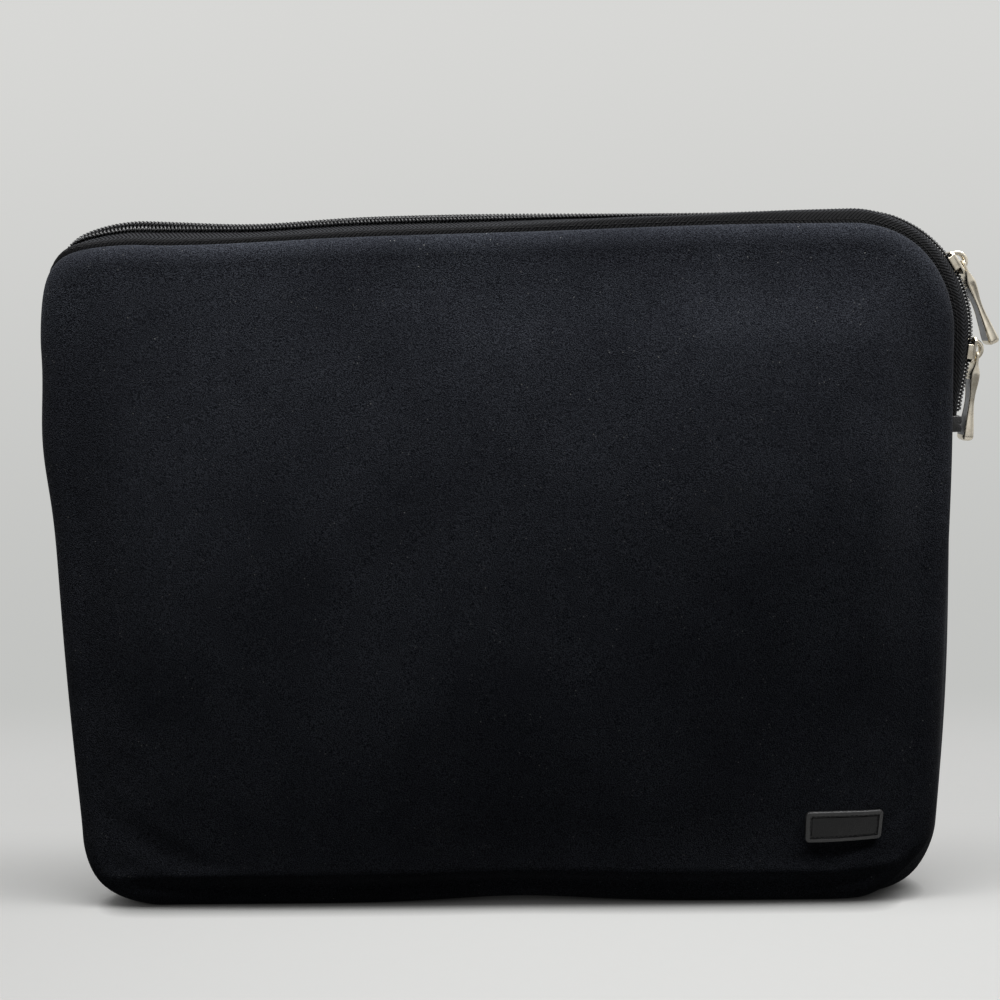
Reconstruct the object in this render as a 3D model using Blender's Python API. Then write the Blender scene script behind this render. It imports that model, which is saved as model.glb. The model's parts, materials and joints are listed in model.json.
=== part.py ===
"""Zipped laptop sleeve of padded neoprene, built as separate solids.

X points right, Y to the back and Z up, in metres, and the front faces -Y.
The origin is the middle of the flat underside that the sleeve stands on.
"""

import math
from typing import NamedTuple

import bmesh
import bpy
import numpy as np
from mathutils import Matrix, Vector

# Padded panels
PANEL_WIDTH = 0.380
PANEL_HEIGHT = 0.295
PANEL_THICKNESS = 0.0045
PANEL_EDGE_ROUND = 0.0035
TOP_CORNER_RADIUS = 0.045
BOTTOM_CORNER_RADIUS = 0.034
POCKET_DEPTH = 0.017

# Swell of the padded front, which fades out before the rim
FRONT_SWELL = 0.0065
SWELL_MARGIN = 0.011
SWELL_SKEW = 1.16
SWELL_COLUMNS = 12
SWELL_ROWS = 9

# Edge gusset between the panels, round the lower sides and the bottom
GUSSET_THICKNESS = 0.0037
GUSSET_EDGE_ROUND = 0.0012

# Zip chain: two rows of coil on two tapes, standing up as a ridge that runs down past the corners
RIDGE_HEIGHT = 0.0080
ZIP_DROP = 0.0405
ZIP_SLANT = math.radians(5.5)
COIL_THICKNESS = 0.0019
COIL_WIDTH = 0.0025
TOOTH_PITCH = 0.00254
TOOTH_DEPTH = 0.0015
TOOTH_TIP_WIDTH = 0.0005
TOOTH_OVERLAP = 0.0006
TAPE_THICKNESS = 0.0007
TAPE_HEM = 0.0080
TAPE_RIM_RISE = 0.0005
TAPE_EDGE_SETBACK = 0.00045

# Where the rows mesh, and where they part for the sliders
MESH_LEFT_MARGIN = 0.030
MESH_RIGHT_MARGIN = 0.060
MESH_FADE = 0.030
PARTING_START = math.radians(13.0)
PARTING_END = math.radians(20.0)

# Folded tabs over the ends of the zip
TAB_LENGTH = 0.0068
TAB_STAND_OUT = 0.0046
TAB_DEPTH = 0.0008
TAB_RIB_DEPTH = 0.0008
TAB_RIBS = 2
RIB_FOOT_SHARE = 0.24
RIB_HEAD_SHARE = 0.76
TAB_EDGE_ROUND = 0.0006

# Binding ribbon over the raw seam edges inside
BINDING_WIDTH = 0.0068
BINDING_THICKNESS = 0.0008

# Zip sliders: two plates on a post, with flanges and a crown loop
SLIDER_LENGTH = 0.0106
SLIDER_FLANGE = 0.00115
SLIDER_TAPER = 0.0004
SLIDER_CORNER = 0.0014
PLATE_THICKNESS = 0.0012
PLATE_EDGE_ROUND = 0.0003
POST_WIDTH = 0.0019
POST_LENGTH = 0.0034
CHAIN_CLEARANCE = 0.00035
CURVE_CLEARANCE = 0.00065
CROWN_RADIUS = 0.0044
CROWN_BAR = 0.0011
CROWN_WIDTH = 0.0024
UPPER_SLIDER_ANGLE = math.radians(57.0)
LOWER_SLIDER_DROP = 0.0012

# Bone-shaped pulls, with the places of their sections as shares of the length
PULL_LENGTH = 0.0355
PULL_EYE_WIDTH = 0.0064
PULL_WAIST_WIDTH = 0.0054
PULL_TIP_WIDTH = 0.0080
PULL_EYE_THICKNESS = 0.0013
PULL_SWELL_THICKNESS = 0.0027
PULL_WAIST_THICKNESS = 0.0018
PULL_TIP_THICKNESS = 0.0040
PULL_EYE_END = 0.12
PULL_SWELL_PLACE = 0.25
PULL_WAIST_START = 0.42
PULL_WAIST_END = 0.68
PULL_FLARE_PLACE = 0.86
PULL_TIP_PLACE = 0.97
PULL_TIP_ROUNDING = 0.25
EYE_BAR_HALF = 0.0006
EYE_HOLE_LENGTH = 0.0036
EYE_SIDE_CLEARANCE = 0.0004
EYE_ANGLE = math.radians(57.0)
UPPER_PULL_LEAN = math.radians(12.5)
LOWER_PULL_LEAN = math.radians(4.0)

# Line along which the front folds open, from the left zip end to the right corner
FOLD_RISE = 0.0012
FOLD_END_ANGLE = math.radians(15.0)

# Label patch, set in from the front panel's side and foot
LABEL_WIDTH = 0.0344
LABEL_HEIGHT = 0.0144
LABEL_THICKNESS = 0.0011
LABEL_CORNER = 0.0018
LABEL_BORDER = 0.0012
LABEL_RELIEF = 0.0003
LABEL_SIDE_MARGIN = 0.0247
LABEL_FOOT_MARGIN = 0.0309

# Air between pieces that touch, and facets in round stretches
SEAT_GAP = 0.0003
CORNER_STEPS = 9
ROUND_STEPS = 3
ARCH_STEPS = 10

# Sizes that follow from the ones above
HALF_WIDTH = PANEL_WIDTH / 2
INNER_FACE = POCKET_DEPTH / 2
OUTER_FACE = INNER_FACE + PANEL_THICKNESS
CORNER_X = HALF_WIDTH - TOP_CORNER_RADIUS
CORNER_Z = PANEL_HEIGHT - TOP_CORNER_RADIUS
SWELL_REACH = HALF_WIDTH - SWELL_MARGIN
CHAIN_HEIGHT = RIDGE_HEIGHT - COIL_THICKNESS / 2
CHAIN_RADIUS = TOP_CORNER_RADIUS + CHAIN_HEIGHT
TURN_ANGLE = math.pi / 2 + ZIP_SLANT
ZIP_END_HEIGHT = CORNER_Z - ZIP_DROP
TAB_TOP = ZIP_END_HEIGHT + SEAT_GAP + TAB_LENGTH
CHAIN_END_Z = TAB_TOP + SEAT_GAP + COIL_THICKNESS / 2 * math.sin(ZIP_SLANT)
TURN_LENGTH = CHAIN_RADIUS * TURN_ANGLE
TURN_END_Z = CORNER_Z - CHAIN_RADIUS * math.sin(ZIP_SLANT)
SLANT_LENGTH = (TURN_END_Z - CHAIN_END_Z) / math.cos(ZIP_SLANT)
CHAIN_END = CORNER_X + TURN_LENGTH + SLANT_LENGTH
ROW_PARTING = POST_WIDTH / 2 + SEAT_GAP
COIL_REACH = ROW_PARTING + COIL_WIDTH
FLANGE_INSIDE = COIL_REACH + SEAT_GAP
SLIDER_HALF_WIDTH = FLANGE_INSIDE + SLIDER_FLANGE
TAPE_LEVEL = -COIL_THICKNESS / 2 - SEAT_GAP - TAPE_THICKNESS / 2
TAPE_SHOULDER = SLIDER_HALF_WIDTH + SEAT_GAP + TAPE_THICKNESS / 2
TAPE_RIM = INNER_FACE - SEAT_GAP - TAPE_THICKNESS / 2
BINDING_INSET = GUSSET_THICKNESS + SEAT_GAP
CHANNEL_TOP = COIL_THICKNESS / 2 + CHAIN_CLEARANCE
CHANNEL_FLOOR = TAPE_LEVEL - TAPE_THICKNESS / 2 - CURVE_CLEARANCE
FLANGE_FOOT = TAPE_LEVEL + TAPE_THICKNESS / 2 + CHAIN_CLEARANCE
PLATE_TOP = CHANNEL_TOP + PLATE_THICKNESS
CROWN_INSIDE = CROWN_RADIUS - CROWN_BAR
EYE_REACH = CROWN_INSIDE - SEAT_GAP - math.hypot(EYE_BAR_HALF, PULL_EYE_THICKNESS / 2)
EYE_LIFT = PLATE_TOP + EYE_REACH * math.sin(EYE_ANGLE)
EYE_DROP = EYE_REACH * math.cos(EYE_ANGLE)
LABEL_X = HALF_WIDTH - LABEL_SIDE_MARGIN - LABEL_WIDTH / 2
LABEL_Z = LABEL_FOOT_MARGIN + LABEL_HEIGHT / 2
FRONT = -1
BACK = 1


class Station(NamedTuple):
    """A point on the panels' rim, the way out from it, and the chain's height there."""

    x: float
    z: float
    out_x: float
    out_z: float
    chain: float


def clear_scene():
    for item in list(bpy.data.objects):
        bpy.data.objects.remove(item)


def make_material(name, colour, roughness, metallic=0.0):
    material = bpy.data.materials.new(name)
    material.use_nodes = True
    shader = material.node_tree.nodes["Principled BSDF"]
    shader.inputs["Base Color"].default_value = (*colour, 1.0)
    shader.inputs["Roughness"].default_value = roughness
    shader.inputs["Metallic"].default_value = metallic
    return material


def to_mesh(name, bm):
    """Close a bmesh into a mesh whose faces point out."""
    bmesh.ops.recalc_face_normals(bm, faces=bm.faces)
    mesh = bpy.data.meshes.new(name)
    bm.to_mesh(mesh)
    bm.free()
    return mesh


def add_object(name, mesh, material, parent=None):
    mesh.shade_smooth()
    mesh.set_sharp_from_angle(angle=math.radians(32.0))
    mesh.materials.clear()
    mesh.materials.append(material)
    item = bpy.data.objects.new(name, mesh)
    bpy.context.scene.collection.objects.link(item)
    item.parent = parent
    return item


def add_pivot(name, location, angle):
    """An empty on a joint, turned about Y to follow the zip."""
    pivot = bpy.data.objects.new(name, None)
    bpy.context.scene.collection.objects.link(pivot)
    pivot.location = location
    pivot.rotation_euler = (0.0, angle, 0.0)
    return pivot


def combine(name, base, joined=(), cut=()):
    """Join and cut bmeshes with booleans, and return the finished mesh."""
    helpers = []
    for bm in (base, *joined, *cut):
        helper = bpy.data.objects.new(name, to_mesh(name, bm))
        bpy.context.scene.collection.objects.link(helper)
        helpers.append(helper)
    for number, helper in enumerate(helpers[1:]):
        modifier = helpers[0].modifiers.new(name, "BOOLEAN")
        modifier.operation = "UNION" if number < len(joined) else "DIFFERENCE"
        modifier.object = helper
    graph = bpy.context.evaluated_depsgraph_get()
    mesh = bpy.data.meshes.new_from_object(helpers[0].evaluated_get(graph))
    for helper in helpers:
        bpy.data.objects.remove(helper)
    return mesh


def arc(centre_x, centre_z, radius, start, end, steps=CORNER_STEPS):
    """Stations along a corner, with angles taken clockwise from straight up."""
    stations = []
    for angle in np.linspace(start, end, steps + 1):
        out_x, out_z = math.sin(angle), math.cos(angle)
        x, z = centre_x + radius * out_x, centre_z + radius * out_z
        stations.append(Station(x, z, out_x, out_z, CHAIN_HEIGHT))
    return stations


def bottom_corners():
    """Stations of both lower corners, from the right side round to the left."""
    inset = HALF_WIDTH - BOTTOM_CORNER_RADIUS
    right = arc(inset, BOTTOM_CORNER_RADIUS, BOTTOM_CORNER_RADIUS, math.pi / 2, math.pi)
    left = arc(-inset, BOTTOM_CORNER_RADIUS, BOTTOM_CORNER_RADIUS, math.pi, math.pi * 1.5)
    return right + left


def top_corner(side):
    quarter = side * math.pi / 2
    return arc(side * CORNER_X, CORNER_Z, TOP_CORNER_RADIUS, 0.0, quarter)


def side_station(side, z):
    return Station(side * HALF_WIDTH, z, side, 0.0, CHAIN_HEIGHT)


def rim_stations():
    """The whole rim of a panel, clockwise from the top of the right corner."""
    return top_corner(1) + bottom_corners() + top_corner(-1)[::-1]


def chain_station(run):
    """The station at a distance along the chain, taken from the middle of the top."""
    side = math.copysign(1.0, run)
    turned = abs(run) - CORNER_X
    angle = min(max(turned / CHAIN_RADIUS, 0.0), TURN_ANGLE)
    straight = max(turned - TURN_LENGTH, 0.0)
    x = min(abs(run), CORNER_X) + CHAIN_RADIUS * math.sin(angle) + straight * math.cos(angle)
    z = CORNER_Z + CHAIN_RADIUS * math.cos(angle) - straight * math.sin(angle)
    chain = CHAIN_HEIGHT
    if angle > math.pi / 2:
        chain = (x - HALF_WIDTH) / math.sin(angle)
    rim_x, rim_z = x - chain * math.sin(angle), z - chain * math.cos(angle)
    return Station(side * rim_x, rim_z, side * math.sin(angle), math.cos(angle), chain)


def spot(station, across, out):
    """A point beside a station: across the sleeve's depth, and out from the rim."""
    return Vector((station.x + station.out_x * out, across, station.z + station.out_z * out))


def row_offset(run):
    """How far a row's tooth tips stand from the mid-plane, below zero where they mesh."""
    mesh_left = -(CORNER_X - MESH_LEFT_MARGIN)
    mesh_right = CORNER_X - MESH_RIGHT_MARGIN
    knots = (
        (mesh_left - MESH_FADE, SEAT_GAP / 2),
        (mesh_left, -TOOTH_OVERLAP / 2),
        (mesh_right, -TOOTH_OVERLAP / 2),
        (mesh_right + MESH_FADE, SEAT_GAP / 2),
        (CORNER_X + CHAIN_RADIUS * PARTING_START, SEAT_GAP / 2),
        (CORNER_X + CHAIN_RADIUS * PARTING_END, ROW_PARTING),
    )
    return float(np.interp(run, *zip(*knots)))


def zip_runs():
    """Distances along the chain at which the tapes bend or change."""
    turns = np.linspace(0.0, TURN_LENGTH, CORNER_STEPS + 3) + CORNER_X
    partings = CORNER_X + CHAIN_RADIUS * np.array((PARTING_START, PARTING_END))
    return sorted([*turns, *-turns, *partings, CHAIN_END, -CHAIN_END])


def loft(loops, cyclic=False):
    """Skin a row of closed loops with faces, capping the ends unless it is a ring."""
    bm = bmesh.new()
    rings = [[bm.verts.new(point) for point in loop] for loop in loops]
    following = rings[1:] + rings[:1] if cyclic else rings[1:]
    for ring, after in zip(rings, following):
        for index in range(len(ring)):
            bm.faces.new((ring[index - 1], ring[index], after[index], after[index - 1]))
    if not cyclic:
        bm.faces.new(rings[0])
        bm.faces.new(rings[-1])
    return bm


def prism(points, lift):
    """Extrude a flat outline of points along a vector."""
    bm = bmesh.new()
    face = bm.faces.new([bm.verts.new(point) for point in points])
    extruded = bmesh.ops.extrude_face_region(bm, geom=[face])["geom"]
    moved = [item for item in extruded if isinstance(item, bmesh.types.BMVert)]
    bmesh.ops.translate(bm, vec=lift, verts=moved)
    return bm


def round_edges(bm, chosen, radius, steps=ROUND_STEPS):
    """Bevel the edges that the test picks."""
    edges = [edge for edge in bm.edges if chosen(edge)]
    bmesh.ops.bevel(
        bm, geom=edges, offset=radius, segments=steps, profile=0.5, affect="EDGES", material=-1
    )


def at_depth(depth):
    """A test for edges that lie in the plane at one Y."""
    return lambda edge: all(abs(vert.co.y - depth) < SEAT_GAP / 10 for vert in edge.verts)


def box(low, high):
    bm = bmesh.new()
    bmesh.ops.create_cube(bm, size=1.0)
    size = Vector(high) - Vector(low)
    middle = (Vector(high) + Vector(low)) / 2
    placed = Matrix.Translation(middle) @ Matrix.Diagonal((*size, 1.0))
    bmesh.ops.transform(bm, matrix=placed, verts=bm.verts)
    return bm


def ribbon(points, thickness):
    """A closed loop round a bent line, half a thickness to each side."""
    points = [Vector(point) for point in points]
    left, right = [], []
    for index, point in enumerate(points):
        arriving = (point - points[index - 1]).normalized() if index else None
        leaving = (points[index + 1] - point).normalized() if index + 1 < len(points) else arriving
        arriving = arriving or leaving
        mitre = ((arriving + leaving).normalized()).orthogonal()
        reach = thickness / 2 / mitre.dot(arriving.orthogonal())
        left.append(point + mitre * reach)
        right.append(point - mitre * reach)
    return left + right[::-1]


def fold_frame():
    """A point on the fold line, and the direction across it towards the mouth."""
    left = Vector((-HALF_WIDTH, 0.0, ZIP_END_HEIGHT + FOLD_RISE))
    reach = TOP_CORNER_RADIUS + RIDGE_HEIGHT
    right = Vector((CORNER_X, 0.0, CORNER_Z))
    right += Vector((math.sin(FOLD_END_ANGLE), 0.0, math.cos(FOLD_END_ANGLE))) * reach
    along = (right - left).normalized()
    return left, Vector((-along.z, 0.0, along.x))


def split_at_fold(bm):
    """Cut a front piece along the fold, and return its mouth side and its fixed side."""
    point, across = fold_frame()
    halves = []
    for sign, half in ((1, bm.copy()), (-1, bm)):
        cut = bmesh.ops.bisect_plane(
            half,
            geom=[*half.verts, *half.edges, *half.faces],
            plane_co=point + across * sign * SEAT_GAP / 2,
            plane_no=across * sign,
            clear_inner=True,
        )
        edges = [item for item in cut["geom_cut"] if isinstance(item, bmesh.types.BMEdge)]
        filled = bmesh.ops.holes_fill(half, edges=edges, sides=0)
        bmesh.ops.triangulate(half, faces=filled["faces"])
        halves.append(half)
    return halves


def swell(point):
    """How far the padded front stands out at a point: most near the middle, nothing at the rim."""
    across = 1.0 - min(abs(point.x) / SWELL_REACH, 1.0)
    rise = (point.z - SWELL_MARGIN) / (PANEL_HEIGHT - 2 * SWELL_MARGIN)
    rise = min(max(rise, 0.0), 1.0) ** SWELL_SKEW
    return FRONT_SWELL * math.sin(math.pi / 2 * across) * math.sin(math.pi * rise)


def puff(bm):
    """Move a front piece out with the swell, and keep its faces flat by cutting them in three corners."""
    for vert in bm.verts:
        vert.co.y += FRONT * swell(vert.co)
    bmesh.ops.triangulate(bm, faces=bm.faces)


def slice_front(bm):
    """Cut the front along a grid, so that it can follow the swell."""
    columns = np.linspace(-SWELL_REACH, SWELL_REACH, SWELL_COLUMNS + 1)
    rows = np.linspace(SWELL_MARGIN, PANEL_HEIGHT - SWELL_MARGIN, SWELL_ROWS + 1)
    cuts = [(Vector((x, 0.0, 0.0)), Vector((1.0, 0.0, 0.0))) for x in columns]
    cuts += [(Vector((0.0, 0.0, z)), Vector((0.0, 0.0, 1.0))) for z in rows]
    for point, normal in cuts:
        geometry = [*bm.verts, *bm.edges, *bm.faces]
        bmesh.ops.bisect_plane(bm, geom=geometry, dist=SEAT_GAP / 10, plane_co=point, plane_no=normal)


def front_cover():
    """The front panel in one piece, swollen by its padding."""
    bm = panel(FRONT)
    slice_front(bm)
    puff(bm)
    return bm


def panel(side):
    """A padded panel with its outer edge rounded over."""
    points = [spot(station, side * INNER_FACE, 0.0) for station in rim_stations()]
    bm = prism(points, Vector((0.0, side * PANEL_THICKNESS, 0.0)))
    bmesh.ops.remove_doubles(bm, verts=bm.verts, dist=SEAT_GAP / 10)
    round_edges(bm, at_depth(side * OUTER_FACE), PANEL_EDGE_ROUND)
    return bm


def gusset():
    """The strip that closes the lower sides and the bottom, flush with the panels' rims."""
    half = INNER_FACE - SEAT_GAP
    section = [(-half, -GUSSET_THICKNESS)]
    for side in (-1, 1):
        for step in range(ROUND_STEPS):
            angle = math.pi / 2 * (step if side < 0 else ROUND_STEPS - 1 - step) / (ROUND_STEPS - 1)
            across = half - GUSSET_EDGE_ROUND * (1 - math.cos(angle))
            section.append((side * across, GUSSET_EDGE_ROUND * (math.sin(angle) - 1)))
    section.append((half, -GUSSET_THICKNESS))
    ends = side_station(1, ZIP_END_HEIGHT), side_station(-1, ZIP_END_HEIGHT)
    stations = [ends[0], *bottom_corners(), ends[1]]
    return loft([[spot(station, *corner) for corner in section] for station in stations])


def tape(side):
    """A zip tape: flat under the coil, then steeply down and inside the panel."""
    loops = []
    for run in zip_runs():
        station = chain_station(run)
        edge = max(row_offset(run), 0.0) + TAPE_EDGE_SETBACK
        level = station.chain + TAPE_LEVEL
        line = ((edge, level), (TAPE_SHOULDER, level), (TAPE_RIM, TAPE_RIM_RISE), (TAPE_RIM, -TAPE_HEM))
        loops.append([spot(station, side * point.x, point.y) for point in ribbon(line, TAPE_THICKNESS)])
    return loft(loops)


def coil_row(side, teeth):
    """One row of the coil, as a rack whose teeth point at the other row."""
    tip = TOOTH_TIP_WIDTH / 2
    start = -teeth * TOOTH_PITCH / 2
    bm = bmesh.new()
    levels = []
    for lift in (-COIL_THICKNESS / 2, COIL_THICKNESS / 2):
        edge, spine = [], []
        for tooth in range(teeth + 1):
            valley = start + tooth * TOOTH_PITCH
            edge.append(coil_point(bm, side, valley, TOOTH_DEPTH, lift))
            spine.append(coil_point(bm, side, valley, COIL_WIDTH, lift))
            if tooth < teeth:
                for shift in (-tip, tip):
                    edge.append(coil_point(bm, side, valley + TOOTH_PITCH / 2 + shift, 0.0, lift))
        levels.append((edge, spine))
    skin_rack(bm, levels, teeth)
    return bm


def coil_point(bm, side, run, width, lift):
    station = chain_station(run)
    return bm.verts.new(spot(station, side * (row_offset(run) + width), station.chain + lift))


def skin_rack(bm, levels, teeth):
    """Faces of a rack: both flats tooth by tooth, the toothed edge, the spine and the ends."""
    (low_edge, low_spine), (high_edge, high_spine) = levels
    per_tooth = 3
    for tooth in range(teeth):
        first = tooth * per_tooth
        for edge, spine in levels:
            bm.faces.new([*edge[first:first + per_tooth + 1], spine[tooth + 1], spine[tooth]])
    for low, high in ((low_edge, high_edge), (low_spine, high_spine)):
        for index in range(len(low) - 1):
            bm.faces.new((low[index], low[index + 1], high[index + 1], high[index]))
    for index in (0, -1):
        bm.faces.new((low_edge[index], high_edge[index], high_spine[index], low_spine[index]))


def end_tab(side):
    """A tab folded over a zip end, with ribs across it."""
    foot = ZIP_END_HEIGHT + SEAT_GAP
    groove = TAB_STAND_OUT - TAB_RIB_DEPTH
    outline = [(-TAB_DEPTH, 0), (groove, 0)]
    for rib in range(TAB_RIBS):
        outline += [(TAB_STAND_OUT, rib + RIB_FOOT_SHARE), (TAB_STAND_OUT, rib + RIB_HEAD_SHARE)]
        outline.append((groove, rib + 1))
    outline.append((-TAB_DEPTH, TAB_RIBS))
    half = INNER_FACE - SEAT_GAP
    rise = TAB_LENGTH / TAB_RIBS
    points = [Vector((side * (HALF_WIDTH + out), -half, foot + rise * rib)) for out, rib in outline]
    bm = prism(points, Vector((0.0, 2 * half, 0.0)))
    for depth in (-half, half):
        round_edges(bm, at_depth(depth), TAB_EDGE_ROUND, 1)
    return bm


def binding(side):
    """The ribbon round a panel's inside edge: over the tape along the zip, else on the panel."""
    on_panel = INNER_FACE - SEAT_GAP
    on_tape = TAPE_RIM - TAPE_THICKNESS / 2 - SEAT_GAP
    runs = [(station, on_tape) for station in top_corner(-1)[::-1] + top_corner(1)]
    runs.append((side_station(1, TAB_TOP), on_tape))
    runs.append((side_station(1, ZIP_END_HEIGHT), on_panel))
    runs += [(station, on_panel) for station in bottom_corners()]
    runs.append((side_station(-1, ZIP_END_HEIGHT), on_panel))
    runs.append((side_station(-1, TAB_TOP), on_tape))
    loops = []
    for station, seat in runs:
        corners = [(seat, 0.0), (seat, BINDING_WIDTH)]
        corners += [(seat - BINDING_THICKNESS, BINDING_WIDTH), (seat - BINDING_THICKNESS, 0.0)]
        loops.append([spot(station, side * across, -BINDING_INSET - down) for across, down in corners])
    return loft(loops, cyclic=True)


def plate_outline(half_width, level):
    """A slider plate's outline: full at its head, a little narrower at its tail."""
    half = SLIDER_LENGTH / 2
    tail = half_width - SLIDER_TAPER
    corners = ((half_width, half - SLIDER_CORNER), (half_width - SLIDER_CORNER, half))
    corners += ((SLIDER_CORNER - half_width, half), (-half_width, half - SLIDER_CORNER))
    corners += ((-tail, SLIDER_CORNER - half), (SLIDER_CORNER - tail, -half))
    corners += ((tail - SLIDER_CORNER, -half), (tail, SLIDER_CORNER - half))
    return [Vector((level, across, along)) for across, along in corners]


def slider_plate(level, outer_level):
    bm = prism(plate_outline(SLIDER_HALF_WIDTH, level), Vector((PLATE_THICKNESS, 0.0, 0.0)))

    def on_outside(edge):
        return all(abs(vert.co.x - outer_level) < SEAT_GAP / 10 for vert in edge.verts)

    round_edges(bm, on_outside, PLATE_EDGE_ROUND, 1)
    return bm


def crown():
    """The loop that carries the pull, an arch from the plate's head to its tail."""
    sink = PLATE_THICKNESS / 2
    outline = []
    for radius, sweep in ((CROWN_RADIUS, 1), (CROWN_INSIDE, -1)):
        outline.append(Vector((PLATE_TOP - sink, -CROWN_WIDTH / 2, -sweep * radius)))
        for step in range(ARCH_STEPS + 1):
            angle = sweep * math.pi * (step / ARCH_STEPS - 0.5)
            reach = Vector((math.cos(angle), 0.0, math.sin(angle))) * radius
            outline.append(Vector((PLATE_TOP, -CROWN_WIDTH / 2, 0.0)) + reach)
        outline.append(Vector((PLATE_TOP - sink, -CROWN_WIDTH / 2, sweep * radius)))
    return prism(outline, Vector((0.0, CROWN_WIDTH, 0.0)))


def slider_mesh():
    """A slider with its head up, standing on the chain's middle line, outside towards +X."""
    sink = PLATE_THICKNESS / 2
    half = SLIDER_LENGTH / 2
    flange_end = half - SLIDER_CORNER - POST_LENGTH / 2
    tail = SLIDER_CORNER - half
    flange_out = SLIDER_HALF_WIDTH - SLIDER_TAPER
    flanges = []
    for side in (-1, 1):
        inner, outer = sorted((side * FLANGE_INSIDE, side * flange_out))
        flanges.append(box((FLANGE_FOOT, inner, tail), (CHANNEL_TOP + sink, outer, flange_end)))
    post_end = half - SLIDER_CORNER / 2
    post_low = (CHANNEL_FLOOR - sink, -POST_WIDTH / 2, post_end - POST_LENGTH)
    post = box(post_low, (CHANNEL_TOP + sink, POST_WIDTH / 2, post_end))
    floor = slider_plate(CHANNEL_FLOOR - PLATE_THICKNESS, CHANNEL_FLOOR - PLATE_THICKNESS)
    roof = slider_plate(CHANNEL_TOP, PLATE_TOP)
    return combine("slider", roof, (*flanges, post, floor, crown()))


def pull_mesh():
    """A pull hanging down from its eye: slim at the waist, swollen below the eye and at its tip."""
    end = EYE_BAR_HALF / PULL_LENGTH
    flare_width = (PULL_WAIST_WIDTH + PULL_TIP_WIDTH) / 2
    flare_thickness = (PULL_WAIST_THICKNESS + PULL_TIP_THICKNESS) / 2
    tip_round = PULL_TIP_THICKNESS * PULL_TIP_ROUNDING
    sections = (
        (-end, PULL_EYE_WIDTH - EYE_BAR_HALF, PULL_EYE_THICKNESS - EYE_BAR_HALF / 2),
        (0.0, PULL_EYE_WIDTH, PULL_EYE_THICKNESS),
        (PULL_EYE_END, PULL_EYE_WIDTH, PULL_EYE_THICKNESS),
        (PULL_SWELL_PLACE, PULL_EYE_WIDTH, PULL_SWELL_THICKNESS),
        (PULL_WAIST_START, PULL_WAIST_WIDTH, PULL_WAIST_THICKNESS),
        (PULL_WAIST_END, PULL_WAIST_WIDTH, PULL_WAIST_THICKNESS),
        (PULL_FLARE_PLACE, flare_width, flare_thickness),
        (PULL_TIP_PLACE, PULL_TIP_WIDTH, PULL_TIP_THICKNESS),
        (1.0, PULL_TIP_WIDTH - tip_round, PULL_TIP_THICKNESS - tip_round),
    )
    loops = []
    for share, width, thickness in sections:
        soften = thickness / 4
        corners = []
        for x, y in ((1, 1), (-1, 1), (-1, -1), (1, -1)):
            near = (x * (thickness / 2 - soften), y * width / 2)
            far = (x * thickness / 2, y * (width / 2 - soften))
            corners += (far, near) if x == y else (near, far)
        loops.append([Vector((*corner, -share * PULL_LENGTH)) for corner in corners])
    hole_half = CROWN_WIDTH / 2 + EYE_SIDE_CLEARANCE
    hole_end = -EYE_BAR_HALF - EYE_HOLE_LENGTH
    hole = box(
        (-PULL_TIP_THICKNESS, -hole_half, hole_end), (PULL_TIP_THICKNESS, hole_half, -EYE_BAR_HALF)
    )
    return combine("pull", loft(loops), cut=(hole,))


def add_sliders(metal):
    """Both sliders and their pulls, each hung from a pivot turned to the chain."""
    body, pull = slider_mesh(), pull_mesh()
    upper = add_pivot("upper_slider_pivot", (CORNER_X, 0.0, CORNER_Z), UPPER_SLIDER_ANGLE - math.pi / 2)
    park = chain_station(CORNER_X + TURN_LENGTH + LOWER_SLIDER_DROP)
    lower = add_pivot("lower_slider_pivot", spot(park, 0.0, park.chain), ZIP_SLANT)
    layout = (
        ("upper", upper, CHAIN_RADIUS, math.pi, UPPER_PULL_LEAN),
        ("lower", lower, 0.0, 0.0, LOWER_PULL_LEAN - ZIP_SLANT),
    )
    for name, pivot, reach, flip, lean in layout:
        slider = add_object(f"{name}_slider_body", body.copy(), metal, pivot)
        slider.location = (reach, 0.0, 0.0)
        slider.rotation_euler = (flip, 0.0, 0.0)
        tag = add_object(f"{name}_slider_pull", pull.copy(), metal, pivot)
        tag.location = (reach + EYE_LIFT, 0.0, -EYE_DROP)
        tag.rotation_euler = (0.0, lean, 0.0)


def label():
    """The label patch on the front face, with a raised border round a bare field."""
    points = []
    half_x, half_z = LABEL_WIDTH / 2 - LABEL_CORNER, LABEL_HEIGHT / 2 - LABEL_CORNER
    for turn, (x, z) in enumerate(((1, 1), (1, -1), (-1, -1), (-1, 1))):
        start = turn * math.pi / 2
        corner = arc(LABEL_X + x * half_x, LABEL_Z + z * half_z, LABEL_CORNER, start, start + math.pi / 2, 3)
        points += [spot(station, -OUTER_FACE - SEAT_GAP, 0.0) for station in corner]
    bm = prism(points, Vector((0.0, -LABEL_THICKNESS, 0.0)))
    bm.normal_update()
    face = min(bm.faces, key=lambda item: item.calc_center_median().y)
    bmesh.ops.inset_region(bm, faces=[face], thickness=LABEL_BORDER)
    bmesh.ops.translate(bm, vec=(0.0, LABEL_RELIEF, 0.0), verts=face.verts)
    puff(bm)
    return bm


def add_front_pair(names, bm, material):
    """A front piece as two solids, one each side of the fold line."""
    for name, half in zip(names, split_at_fold(bm)):
        add_object(name, to_mesh(name, half), material)


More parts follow.
